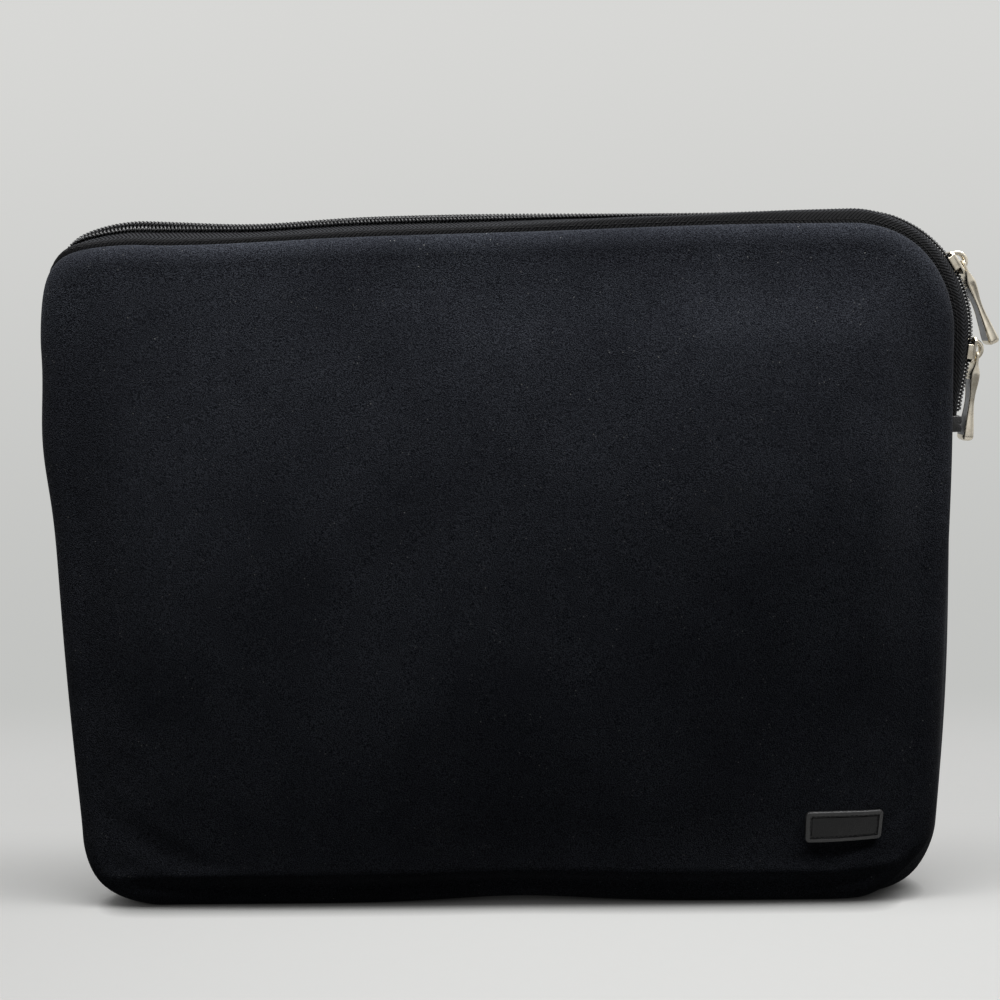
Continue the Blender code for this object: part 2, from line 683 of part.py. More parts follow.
def main():
    clear_scene()
    neoprene = make_material("neoprene", (0.020, 0.021, 0.025), 0.85)
    webbing = make_material("zip_tape", (0.022, 0.023, 0.026), 0.70)
    nylon = make_material("zip_coil", (0.014, 0.014, 0.016), 0.35)
    nickel = make_material("satin_nickel", (0.62, 0.59, 0.53), 0.30, 1.0)
    gloss = make_material("end_tab", (0.012, 0.012, 0.014), 0.30)
    leatherette = make_material("label", (0.010, 0.010, 0.011), 0.38)
    ribbon_black = make_material("binding", (0.016, 0.016, 0.018), 0.65)
    teeth = math.floor(2 * CHAIN_END / TOOTH_PITCH)

    add_front_pair(("front_flap", "front_panel"), front_cover(), neoprene)
    add_object("back_panel", to_mesh("back_panel", panel(BACK)), neoprene)
    add_object("edge_gusset", to_mesh("edge_gusset", gusset()), neoprene)
    add_front_pair(("front_tape_mouth", "front_tape_side"), tape(FRONT), webbing)
    add_object("back_tape", to_mesh("back_tape", tape(BACK)), webbing)
    add_front_pair(("front_coil_mouth", "front_coil_side"), coil_row(FRONT, teeth), nylon)
    add_object("back_coil", to_mesh("back_coil", coil_row(BACK, teeth - 1)), nylon)
    add_front_pair(("front_binding_mouth", "front_binding_pocket"), binding(FRONT), ribbon_black)
    add_object("back_binding", to_mesh("back_binding", binding(BACK)), ribbon_black)
    for name, side in (("left_end_tab", -1), ("right_end_tab", 1)):
        add_object(name, to_mesh(name, end_tab(side)), gloss)
    add_object("label_patch", to_mesh("label_patch", label()), leatherette)
    add_sliders(nickel)


main()
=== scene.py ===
"""Looks of a zipped neoprene laptop sleeve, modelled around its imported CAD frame.

All sizes are in metres, in the frame's own axes: X to the right, Y to the back and Z up.
"""

import json
import logging
import math
from dataclasses import dataclass, field
from enum import Enum
from typing import Callable, Sequence

import bmesh
import bpy
import numpy as np
from mathutils import Matrix, Vector


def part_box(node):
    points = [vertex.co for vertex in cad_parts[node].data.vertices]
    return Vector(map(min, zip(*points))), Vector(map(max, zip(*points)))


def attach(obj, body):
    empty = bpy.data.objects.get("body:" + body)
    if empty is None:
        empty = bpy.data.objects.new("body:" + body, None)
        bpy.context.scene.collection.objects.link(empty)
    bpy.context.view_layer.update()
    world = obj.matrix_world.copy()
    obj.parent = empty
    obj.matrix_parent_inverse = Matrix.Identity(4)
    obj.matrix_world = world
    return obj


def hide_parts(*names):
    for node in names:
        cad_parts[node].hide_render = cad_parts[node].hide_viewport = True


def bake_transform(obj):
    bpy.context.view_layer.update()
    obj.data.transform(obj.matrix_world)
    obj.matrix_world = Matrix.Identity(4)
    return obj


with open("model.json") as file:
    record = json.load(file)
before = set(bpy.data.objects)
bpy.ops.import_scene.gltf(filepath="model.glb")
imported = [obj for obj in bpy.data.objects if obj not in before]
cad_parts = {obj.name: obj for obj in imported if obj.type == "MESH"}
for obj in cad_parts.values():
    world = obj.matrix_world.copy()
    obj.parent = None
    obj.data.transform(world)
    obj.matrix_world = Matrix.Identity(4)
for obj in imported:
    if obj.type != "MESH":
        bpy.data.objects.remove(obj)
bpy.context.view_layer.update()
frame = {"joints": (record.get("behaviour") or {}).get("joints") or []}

LOG = logging.getLogger("laptop_sleeve")
BLACK = (0.0, 0.0, 0.0)
GLOSS = "Specular IOR Level"
NOISE_ROUGHNESS = 0.6
POLISH = 0.5
QUARTER = math.pi / 2
WELD_GAP = 1e-6
Array = np.ndarray
BMesh = bmesh.types.BMesh
Material, Mesh, Object = bpy.types.Material, bpy.types.Mesh, bpy.types.Object
Node, NodeSocket = bpy.types.Node, bpy.types.NodeSocket
Relief = tuple[NodeSocket, float, float]
Triple = tuple[float, float, float]
Knots = tuple[tuple[float, float], ...]
Placement = Callable[[Array, Array], Array]


class Side(Enum):
    """Which half of the sleeve a piece belongs to, as the sign of its Y."""

    FRONT = -1
    BACK = 1


class Body(Enum):
    """The moving bodies of the frame."""

    SLEEVE = "sleeve"
    FLAP = "flap"
    UPPER_SLIDER = "upper_slider"
    UPPER_PULL = "upper_pull"
    LOWER_SLIDER = "lower_slider"
    LOWER_PULL = "lower_pull"


class Slot(Enum):
    """The record's material slots."""

    NEOPRENE = "neoprene"
    TAPE = "zip_tape"
    COIL = "zip_coil"
    NICKEL = "satin_nickel"
    TAB = "end_tab"
    LABEL = "label"
    BINDING = "binding"


class Reach(Enum):
    """How deep a shove goes: through the whole sleeve, its front panel or only the zip's ridge."""

    THROUGH = "through"
    FRONT = "front"
    RIDGE = "ridge"


class Edge(Enum):
    """The four edges of a rounded rectangle, each from corner to corner."""

    BOTTOM = "bottom"
    RIGHT = "right"
    TOP = "top"
    LEFT = "left"


def smooth(share: Array) -> Array:
    """Soften a straight rise from 0 to 1 at both ends."""
    share = np.clip(share, 0.0, 1.0)
    return share * share * (3.0 - 2.0 * share)


def ease(values: Array, low: float, high: float) -> Array:
    """Rise smoothly from 0 at the low value to 1 at the high one."""
    return smooth((values - low) / (high - low))


def hill(values: Array, middle: float, spread: float) -> Array:
    """A bell curve of height 1 round a middle."""
    return np.exp(-0.5 * ((values - middle) / spread) ** 2)


def glide(values: Array, knots: Knots) -> Array:
    """Go softly from knot to knot.

    Args:
        values: Where to read.
        knots: Places in rising order, each with its height.

    Returns:
        The height at each value.
    """
    places, heights = np.array(knots).T
    at = np.clip(np.searchsorted(places, values) - 1, 0, len(places) - 2)
    share = smooth((values - places[at]) / (places[at + 1] - places[at]))
    return heights[at] + (heights[at + 1] - heights[at]) * share


def numbers(share: Array, steps: int) -> Array:
    """Number of the step at each share of the way."""
    return np.rint(share * steps).astype(int)


def round_angle(share: Array, sides: int) -> Array:
    """Angle at each share of the way round a section, whose last corner is its first."""
    return 2 * math.pi * (np.rint(share * sides) % sides) / sides


def squared(values: Array, power: float) -> Array:
    """Square off a sine or cosine, keeping its sign."""
    return np.sign(values) * np.abs(values) ** power


@dataclass(frozen=True)
class Track:
    """Places along an edge of the sleeve, the way out from each, and the zip's height there."""

    x: Array
    z: Array
    out_x: Array
    out_z: Array
    height: Array

    def spot(self, across: Array | float, out: Array | float) -> Array:
        """Points beside the track, so far across along Y and so far out from the edge."""
        depth = np.broadcast_to(across, self.x.shape)
        return np.stack((self.x + self.out_x * out, depth, self.z + self.out_z * out), axis=1)

    def walk(self) -> Array:
        """The distance walked from the first place to each."""
        return np.concatenate(([0.0], np.cumsum(np.hypot(np.diff(self.x), np.diff(self.z)))))

    def pick(self, at: Array) -> "Track":
        """The places with the given numbers."""
        return Track(self.x[at], self.z[at], self.out_x[at], self.out_z[at], self.height[at])


@dataclass(frozen=True)
class Outline:
    """A rounded rectangle in the XZ plane."""

    middle_x: float
    half_width: float
    base: float
    top: float
    base_radius: float
    top_radius: float
    tightest: float = 0.0002

    def edge(self, edge: Edge, share: Array, inset: Array | float = 0.0) -> Track:
        """Places along one edge, from the middle of one corner to the middle of the next.

        Args:
            edge: Which edge to follow.
            share: How far along it, from 0 to 1.
            inset: How far inside the outline.

        Returns:
            The track along that edge.
        """
        level = edge in (Edge.BOTTOM, Edge.TOP)
        least = inset + self.tightest
        first = np.maximum(self.top_radius if edge is Edge.TOP else self.base_radius, least)
        last = np.maximum(self.base_radius if edge is Edge.BOTTOM else self.top_radius, least)
        half_height = (self.top - self.base) / 2
        length = 2 * (self.half_width if level else half_height) - first - last
        reach = half_height if level else self.half_width
        sign = 1.0 if edge in (Edge.TOP, Edge.RIGHT) else -1.0
        walk = share * (length + (first + last) * math.pi / 4)
        ahead = walk - first * math.pi / 4
        angle = np.minimum(ahead / first, 0.0) + np.maximum((ahead - length) / last, 0.0)
        radius = np.where(ahead < length / 2, first, last)
        start = first - (self.half_width if level else half_height)
        along = start + np.clip(ahead, 0.0, length) + (radius - inset) * np.sin(angle)
        outward = reach - radius + (radius - inset) * np.cos(angle)
        middle_z = (self.top + self.base) / 2
        facing, flat = sign * np.cos(angle), np.zeros_like(along)
        if level:
            return Track(self.middle_x + along, middle_z + sign * outward, np.sin(angle), facing, flat)
        return Track(self.middle_x + sign * outward, middle_z + along, facing, np.sin(angle), flat)

    def patch(self, u: Array, v: Array, inset: float) -> tuple[Array, Array]:
        """Fill the outline smoothly from its four edges.

        Args:
            u: Share from left to right.
            v: Share from bottom to top.
            inset: How far inside the outline the patch ends.

        Returns:
            The X and Z of each point.
        """
        low, high = self.edge(Edge.BOTTOM, u, inset), self.edge(Edge.TOP, u, inset)
        left, right = self.edge(Edge.LEFT, v, inset), self.edge(Edge.RIGHT, v, inset)
        ends = np.array((0.0, 1.0))
        foot, head = self.edge(Edge.BOTTOM, ends, inset), self.edge(Edge.TOP, ends, inset)
        filled = []
        for name in ("x", "z"):
            ruled = (1 - v) * getattr(low, name) + v * getattr(high, name)
            ruled = ruled + (1 - u) * getattr(left, name) + u * getattr(right, name)
            foot_line = (1 - u) * getattr(foot, name)[0] + u * getattr(foot, name)[1]
            head_line = (1 - u) * getattr(head, name)[0] + u * getattr(head, name)[1]
            filled.append(ruled - (1 - v) * foot_line - v * head_line)
        return filled[0], filled[1]


@dataclass
class SleeveForm:
    """The sleeve's shape as the frame gives it, with the path of its zip."""

    base_radius: float = 0.034
    seat: float = 0.0003
    upper_angle: float = math.radians(57.0)
    coil_thickness: float = 0.0019
    coil_width: float = 0.0025
    post_gap: float = 0.00125
    mesh_overlap: float = 0.0006
    row_gap: float = 0.00015
    mesh_left_margin: float = 0.030
    mesh_right_margin: float = 0.060
    mesh_fade: float = 0.030
    parting_start: float = math.radians(13.0)
    parting_end: float = math.radians(20.0)
    lean_angle: float = math.radians(38.0)
    lean_ahead: float = 0.0030
    lean_drop: float = 0.0001
    tail: float = 0.0030
    lean_knots: Knots = (
        (-0.200, 0.0), (-0.165, 1.0), (-0.020, 1.0), (0.070, 0.15),
        (0.130, -0.60), (0.148, -0.58), (0.167, -0.08), (0.193, 0.0),
    )
    sink_knots: Knots = (
        (-0.240, 0.0090), (-0.204, 0.0082), (-0.172, 0.0), (0.240, 0.0), (0.256, 0.0010)
    )

    def __post_init__(self) -> None:
        """Measure the panels, the zip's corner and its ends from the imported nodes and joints."""
        low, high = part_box("back_panel")
        joints = {joint["name"]: joint for joint in frame["joints"]}
        self.half_width, self.base, self.top = high.x, low.z, high.z
        self.inner, self.outer = low.y, high.y
        self.corner_x, _, self.corner_z = joints["upper_slider_travel"]["pos_m"]
        self.top_radius = self.half_width - self.corner_x
        coil_low, coil_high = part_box("back_coil")
        self.chain_height = coil_high.z - self.coil_thickness / 2 - self.top
        self.chain_radius = self.top_radius + self.chain_height
        self.slant = math.asin(-joints["lower_slider_travel"]["axis"][0])
        self.turn = QUARTER + self.slant
        self.turn_length = self.chain_radius * self.turn
        self.tab_low, self.tab_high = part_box("right_end_tab")
        turn_end_z = self.corner_z - self.chain_radius * math.sin(self.slant)
        straight = (turn_end_z - coil_low.z) / math.cos(self.slant)
        self.chain_end = self.corner_x + self.turn_length + straight + self.tail
        self.gusset_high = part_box("edge_gusset")[1]
        self.hinge = Vector(joints["flap_open"]["pos_m"])
        axis = joints["flap_open"]["axis"]
        self.across_fold = Vector((-axis[2], 0.0, axis[0])).normalized()
        self.pull_joints = {
            Body.UPPER_PULL: Vector(joints["upper_pull_swing"]["pos_m"]),
            Body.LOWER_PULL: Vector(joints["lower_pull_swing"]["pos_m"]),
        }

    def panel(self) -> Outline:
        """The outline that both panels share."""
        return Outline(0.0, self.half_width, self.base, self.top, self.base_radius, self.top_radius)

    def chain(self, run: Array) -> Track:
        """Follow the zip.

        Args:
            run: Distances along the zip from the middle of the top, positive to the right.

        Returns:
            Places on the panels' rim below the zip, with the zip's height above each.
        """
        side = np.where(run < 0.0, -1.0, 1.0)
        turned = np.abs(run) - self.corner_x
        angle = np.clip(turned / self.chain_radius, 0.0, self.turn)
        straight = np.maximum(turned - self.turn_length, 0.0)
        x = np.minimum(np.abs(run), self.corner_x) + self.chain_radius * np.sin(angle)
        x = x + straight * np.cos(angle)
        z = self.corner_z + self.chain_radius * np.cos(angle) - straight * np.sin(angle)
        slanted = (x - self.half_width) / np.maximum(np.sin(angle), 0.5)
        height = np.where(angle > QUARTER, slanted, self.chain_height)
        rim_x, rim_z = x - height * np.sin(angle), z - height * np.cos(angle)
        height = height - glide(run, self.sink_knots)
        return Track(side * rim_x, rim_z, side * np.sin(angle), np.cos(angle), height)

    def roll(self, run: Array, side: Side, across: Array, out: Array, height: Array) -> Array:
        """Roll the zip forward where it flops over the mouth.

        Args:
            run: Distances along the zip.
            side: The half that the points belong to.
            across: How far they lie from the middle plane, on their own side.
            out: How far they lie out from the rim.
            height: The zip's height there, about which it rolls.

        Returns:
            The rolled distances across and out, as rows of two.
        """
        amount = glide(run, self.lean_knots)
        turn = self.lean_angle * amount
        ahead, above = -side.value * across, out - height
        rolled = ahead * np.cos(turn) + above * np.sin(turn) + self.lean_ahead * amount
        lifted = height + above * np.cos(turn) - ahead * np.sin(turn) - self.lean_drop * amount
        return np.stack((-side.value * rolled, lifted), axis=-1)

    def row_offset(self, run: Array) -> Array:
        """How far a row's tips stand from the middle plane, below zero where the rows mesh.

        Args:
            run: Distances along the zip.

        Returns:
            The offset at each distance.
        """
        left = -(self.corner_x - self.mesh_left_margin)
        right = self.corner_x - self.mesh_right_margin
        knots = (
            (left - self.mesh_fade, self.row_gap),
            (left, -self.mesh_overlap / 2),
            (right, -self.mesh_overlap / 2),
            (right + self.mesh_fade, self.row_gap),
            (self.corner_x + self.chain_radius * self.parting_start, self.row_gap),
            (self.corner_x + self.chain_radius * self.parting_end, self.post_gap),
        )
        return np.interp(run, *zip(*knots))

    def rim(self, share: Array) -> Track:
        """Follow the whole rim of a panel once round, from the lower left corner."""
        outline = self.panel()
        shares = np.linspace(0.0, 1.0, 200)
        ends = np.cumsum([0.0, *(outline.edge(edge, shares).walk()[-1] for edge in Edge)])
        bounds = ends / ends[-1]
        found = Track(*np.zeros((5, len(share))))
        for edge, first, last in zip(Edge, bounds, bounds[1:]):
            part = (share - first) / (last - first)
            inside = (part >= 0.0) & (part <= 1.0)
            if edge in (Edge.TOP, Edge.LEFT):
                part = 1.0 - part
            piece = outline.edge(edge, np.clip(part, 0.0, 1.0))
            for name, values in vars(found).items():
                values[inside] = getattr(piece, name)[inside]
        return found


@dataclass(frozen=True)
class Dent:
    """A round place on the sleeve where something gives way, most in its middle."""

    x: float
    z: float
    spread_x: float
    spread_z: float

    def amount(self, x: Array, z: Array) -> Array:
        """How much each place gives way, from 0 to 1."""
        return hill(x, self.x, self.spread_x) * hill(z, self.z, self.spread_z)


@dataclass(frozen=True)
class Shove(Dent):
    """A place where the soft sleeve has been pushed out of its plain outline."""

    shift_x: float
    shift_z: float
    reach: Reach = Reach.THROUGH


@dataclass(frozen=True)
class Swell(Dent):
    """A soft bulge in the front panel, or a hollow where its rise is below zero."""

    rise: float


@dataclass
class JerseyPuff:
    """A cloth simulation of a panel's jersey, held at its seams and blown out."""

    form: SleeveForm
    margin: float = 0.011
    columns: int = 64
    rows: int = 50
    frames: int = 24
    mass: float = 0.3
    pressure: float = 1.2
    stiffness: float = 40.0

    def __post_init__(self) -> None:
        """Find the jersey's free part and let it settle."""
        form = self.form
        self.half = form.half_width - self.margin
        self.low, self.high = form.base + self.margin, form.top - self.margin
        self.heights = self.blown()

    def flat(self, u: Array, v: Array) -> Array:
        """Place the flat jersey."""
        places = ((u * 2 - 1) * self.half, np.zeros_like(u), self.low + v * (self.high - self.low))
        return np.stack(places, axis=1)

    def blown(self) -> Array:
        """Run the simulation.

        Returns:
            The jersey's height at each grid point, in rows from the foot up, with 1 at the highest.
        """
        bm = grid_sheet(self.columns, self.rows, self.flat)
        held = [vert.index for vert in bm.verts if vert.is_boundary]
        order = np.lexsort(np.array([(vert.co.x, vert.co.z) for vert in bm.verts]).round(6).T)
        item = stand("jersey_puff", meshed(bm, "jersey_puff"))
        item.vertex_groups.new(name="seams").add(held, 1.0, "REPLACE")
        cloth = item.modifiers.new("jersey", "CLOTH")
        settings, scene = cloth.settings, bpy.context.scene
        settings.vertex_group_mass, settings.mass = "seams", self.mass
        settings.tension_stiffness = settings.compression_stiffness = self.stiffness
        settings.use_pressure, settings.uniform_pressure_force = True, self.pressure
        cloth.collision_settings.use_collision = False
        for step in range(1, self.frames + 1):
            scene.frame_set(step)
        shaped = item.evaluated_get(bpy.context.evaluated_depsgraph_get()).to_mesh()
        rise = np.array([-vert.co.y for vert in shaped.vertices])[order]
        bpy.data.objects.remove(item)
        scene.frame_set(1)
        LOG.info("jersey puffed out by %.1f mm in its simulation", rise.max() * 1000)
        return (rise / rise.max()).reshape(self.rows + 1, self.columns + 1)

    def at(self, x: Array, z: Array) -> Array:
        """Read the settled jersey.

        Args:
            x: Places across the panel.
            z: Places up the panel.

        Returns:
            Its height at each, between 0 and 1.
        """
        across = np.clip((x / self.half + 1) / 2, 0.0, 1.0) * self.columns
        along = np.clip((z - self.low) / (self.high - self.low), 0.0, 1.0) * self.rows
        i = np.minimum(across.astype(int), self.columns - 1)
        j = np.minimum(along.astype(int), self.rows - 1)
        u, v = across - i, along - j
        lower = (1 - u) * self.heights[j, i] + u * self.heights[j, i + 1]
        upper = (1 - u) * self.heights[j + 1, i] + u * self.heights[j + 1, i + 1]
        return (1 - v) * lower + v * upper


@dataclass
class Drape:
    """How the soft sleeve slumps: crowned panels, bulges, and an outline pushed about by use."""

    form: SleeveForm
    puff: JerseyPuff
    puff_share: float = 0.5
    front_crown: float = 0.0065
    back_crown: float = 0.0020
    crown_skew: float = 1.16
    side_start: float = 0.0020
    side_full: float = 0.0075
    rim_fade: float = 0.14
    ridge_spread: float = 0.0050
    shoves: tuple[Shove, ...] = (
        Shove(-0.178, 0.283, 0.015, 0.014, -0.0046, 0.0052, Reach.FRONT),
        Shove(-0.178, 0.290, 0.016, 0.012, -0.0020, 0.0026, Reach.RIDGE),
        Shove(-0.190, 0.212, 0.030, 0.018, -0.0028, 0.0, Reach.FRONT),
        Shove(-0.190, 0.110, 0.030, 0.080, -0.0028, 0.0, Reach.FRONT),
        Shove(-0.140, 0.295, 0.040, 0.012, 0.0, -0.0019, Reach.FRONT),
        Shove(0.100, 0.295, 0.050, 0.012, 0.0, 0.0015, Reach.FRONT),
        Shove(0.188, 0.255, 0.012, 0.030, -0.0020, 0.0, Reach.FRONT),
        Shove(-0.100, 0.302, 0.022, 0.010, 0.0, -0.0022, Reach.RIDGE),
        Shove(0.120, 0.302, 0.050, 0.012, 0.0, -0.0012, Reach.RIDGE),
        Shove(0.178, 0.008, 0.012, 0.012, 0.0012, -0.0028, Reach.RIDGE),
        Shove(0.005, 0.0, 0.030, 0.014, 0.0, 0.0030),
        Shove(0.180, 0.012, 0.014, 0.014, -0.0036, 0.0045, Reach.FRONT),
        Shove(0.190, 0.120, 0.012, 0.075, -0.0006, 0.0, Reach.FRONT),
        Shove(0.192, 0.095, 0.020, 0.070, 0.0050, 0.0, Reach.RIDGE),
        Shove(-0.180, 0.010, 0.012, 0.012, -0.0026, -0.0008, Reach.FRONT),
    )
    swells: tuple[Swell, ...] = (
        Swell(0.118, 0.196, 0.078, 0.056, 0.0062),
        Swell(0.020, 0.085, 0.060, 0.034, 0.0020),
        Swell(-0.010, 0.280, 0.040, 0.014, -0.0008),
        Swell(-0.140, 0.150, 0.036, 0.050, 0.0016),
    )

    def crown(self, x: Array, z: Array) -> tuple[Array, Array]:
        """Shape of a panel that bows out between its seams.

        Args:
            x: Places across the panel.
            z: Places up the panel.

        Returns:
            The bow, from 0 at the rim to 1, and a fade that holds bulges off the rim.
        """
        form, margin = self.form, self.puff.margin
        u = np.clip(1.0 - np.abs(x) / (form.half_width - margin), 0.0, 1.0)
        v = np.clip((z - form.base - margin) / (form.top - form.base - 2 * margin), 0.0, 1.0)
        bow = np.sin(QUARTER * u) * np.sin(math.pi * v**self.crown_skew)
        if self.puff.heights is not None:
            bow = bow + self.puff_share * (self.puff.at(x, z) - bow)
        fade = ease(u, 0.0, self.rim_fade) * ease(v, 0.0, self.rim_fade)
        return bow, fade * ease(1.0 - v, 0.0, self.rim_fade)

    def move(self, points: Array) -> Array:
        """Settle points of the plain frame into the slumped form.

        Args:
            points: Points as rows of X, Y and Z.

        Returns:
            The moved points.
        """
        x, y, z = points[:, 0], points[:, 1], points[:, 2]
        at_front = ease(-y, self.side_start, self.side_full)
        at_back = ease(y, self.side_start, self.side_full)
        weights = {
            Reach.THROUGH: np.ones_like(y),
            Reach.FRONT: at_front,
            Reach.RIDGE: hill(y, 0.0, self.ridge_spread),
        }
        bow, fade = self.crown(x, z)
        rise = self.front_crown * bow
        for swell in self.swells:
            rise = rise + swell.rise * swell.amount(x, z) * fade
        moved = points.copy()
        moved[:, 1] += self.back_crown * bow * at_back - rise * at_front
        for shove in self.shoves:
            amount = shove.amount(x, z) * weights[shove.reach]
            moved[:, 0] += shove.shift_x * amount
            moved[:, 2] += shove.shift_z * amount
        return moved


class NodeBench:
    """Adds nodes to one material or world and joins their sockets."""

    def __init__(self, name: str, world: bool = False) -> None:
        """Start a material with a bare Principled shader, or a world with a bare background."""
        self.owner = (bpy.data.worlds if world else bpy.data.materials).new(name)
        self.owner.use_nodes = True
        self.tree = self.owner.node_tree
        self.shader = self.tree.nodes["Background" if world else "Principled BSDF"]
        self.output = self.tree.nodes["World Output" if world else "Material Output"]

    def add(self, kind: str, inputs: dict | None = None, **properties: object) -> Node:
        """Add a node.

        Args:
            kind: The node's type name.
            inputs: Values or sockets for its inputs, by name or number.
            properties: Settings of the node itself.

        Returns:
            The new node.
        """
        node = self.tree.nodes.new(kind)
        for name, value in properties.items():
            setattr(node, name, value)
        self.feed(node, inputs or {})
        return node

    def feed(self, node: Node, inputs: dict) -> None:
        """Set or link a node's inputs.

        Args:
            node: The node to feed.
            inputs: Values or sockets for its inputs, by name or number.
        """
        for key, value in inputs.items():
            if isinstance(value, NodeSocket):
                self.tree.links.new(value, node.inputs[key])
            else:
                node.inputs[key].default_value = value

    def place(self, source: str = "Object") -> NodeSocket:
        """Coordinates of the surface, from the object or its UV map."""
        return self.add("ShaderNodeTexCoord").outputs[source]

    def split(self, vector: NodeSocket) -> bpy.types.bpy_prop_collection:
        """The X, Y and Z of a vector."""
        return self.add("ShaderNodeSeparateXYZ", {0: vector}).outputs

    def stretch(self, vector: NodeSocket, scale: Triple) -> NodeSocket:
        """Coordinates scaled by axis."""
        return self.add("ShaderNodeMapping", {"Vector": vector, "Scale": scale}).outputs[0]

    def cells(self, vector: NodeSocket, scale: float) -> NodeSocket:
        """Distance from the middle of the nearest cell, with so many cells in a metre."""
        return self.add("ShaderNodeTexVoronoi", {"Vector": vector, "Scale": scale}).outputs["Distance"]

    def noise(self, vector: NodeSocket, scale: float, detail: float = 2.0) -> NodeSocket:
        """Cloudy noise about 0.5, with so many lumps in a metre and finer noise laid over them."""
        inputs = {"Vector": vector, "Scale": scale, "Detail": detail, "Roughness": NOISE_ROUGHNESS}
        return self.add("ShaderNodeTexNoise", inputs).outputs["Fac"]

    def sum(self, kind: str, first: object, second: object, third: object = 0.0) -> NodeSocket:
        """One step of arithmetic, where the third number is what a multiplication adds."""
        return self.add("ShaderNodeMath", {0: first, 1: second, 2: third}, operation=kind).outputs[0]

    def times(self, first: object, second: object) -> NodeSocket:
        """Multiply two numbers or sockets."""
        return self.sum("MULTIPLY", first, second)

    def mix(self, share: NodeSocket, first: Node, second: Node) -> Node:
        """Mix two shaders by a share of the second."""
        return self.add("ShaderNodeMixShader", {0: share, 1: first.outputs[0], 2: second.outputs[0]})

    def grain(self, vector: NodeSocket, grain: "Grain") -> NodeSocket:
        """Noise as a grain describes it."""
        noise = self.noise(vector, grain.scale, grain.detail)
        return self.grade(noise, grain.low, grain.high, grain.least)

    def ribs(self, value: NodeSocket, pitch: float, span: tuple[float, float]) -> NodeSocket:
        """Ribs of one pitch along a value, whose flanks rise over a span of shares of the way up."""
        rib = self.sum("PINGPONG", value, pitch / 2)
        return self.grade(self.sum("DIVIDE", rib, pitch / 2), *span)

    def grade(self, value: NodeSocket, low: float, high: float, least: float = 0.0) -> NodeSocket:
        """Spread a value softly, from the least result at low to 1 at high."""
        inputs = {"Value": value, "From Min": low, "From Max": high, "To Min": least}
        return self.add("ShaderNodeMapRange", inputs, interpolation_type="SMOOTHSTEP").outputs["Result"]

    def blend(self, share: object, first: object, second: object) -> NodeSocket:
        """Mix two colours.

        Args:
            share: How much of the second, from 0 to 1.
            first: A colour or socket.
            second: A colour or socket.

        Returns:
            The mixed colour.
        """
        colours = [(*item, 1.0) if isinstance(item, tuple) else item for item in (first, second)]
        inputs = {0: share, 6: colours[0], 7: colours[1]}
        return self.add("ShaderNodeMix", inputs, data_type="RGBA").outputs[2]

    def patch(self, vector: NodeSocket, middle: Sequence[float], reach: float) -> NodeSocket:
        """A soft round patch: 1 in the middle, 0 beyond its reach."""
        gap = self.add("ShaderNodeVectorMath", {0: vector, 1: tuple(middle)}, operation="DISTANCE")
        return self.grade(gap.outputs["Value"], reach, 0.0)

    def dress(
        self, colour: NodeSocket, rough: object, relief: Relief, more: dict | None = None
    ) -> Material:
        """Feed the shader and bump its surface.

        Args:
            colour: Base colour.
            rough: Roughness.
            relief: Heights from 0 to 1, the depth of the full relief, and how strongly it shows.
            more: Further inputs of the shader, by name.

        Returns:
            The material.
        """
        height, depth, strength = relief
        bump = self.add("ShaderNodeBump", {"Height": height, "Distance": depth, "Strength": strength})
        plain = {"Base Color": colour, "Roughness": rough, "Normal": bump.outputs["Normal"]}
        self.feed(self.shader, {**plain, **(more or {})})
        return self.owner


@dataclass(frozen=True)
class Grain:
    """Noise with lumps of one size, spread out between a low and a high value."""

    scale: float
    detail: float
    low: float
    high: float
    least: float = 0.0


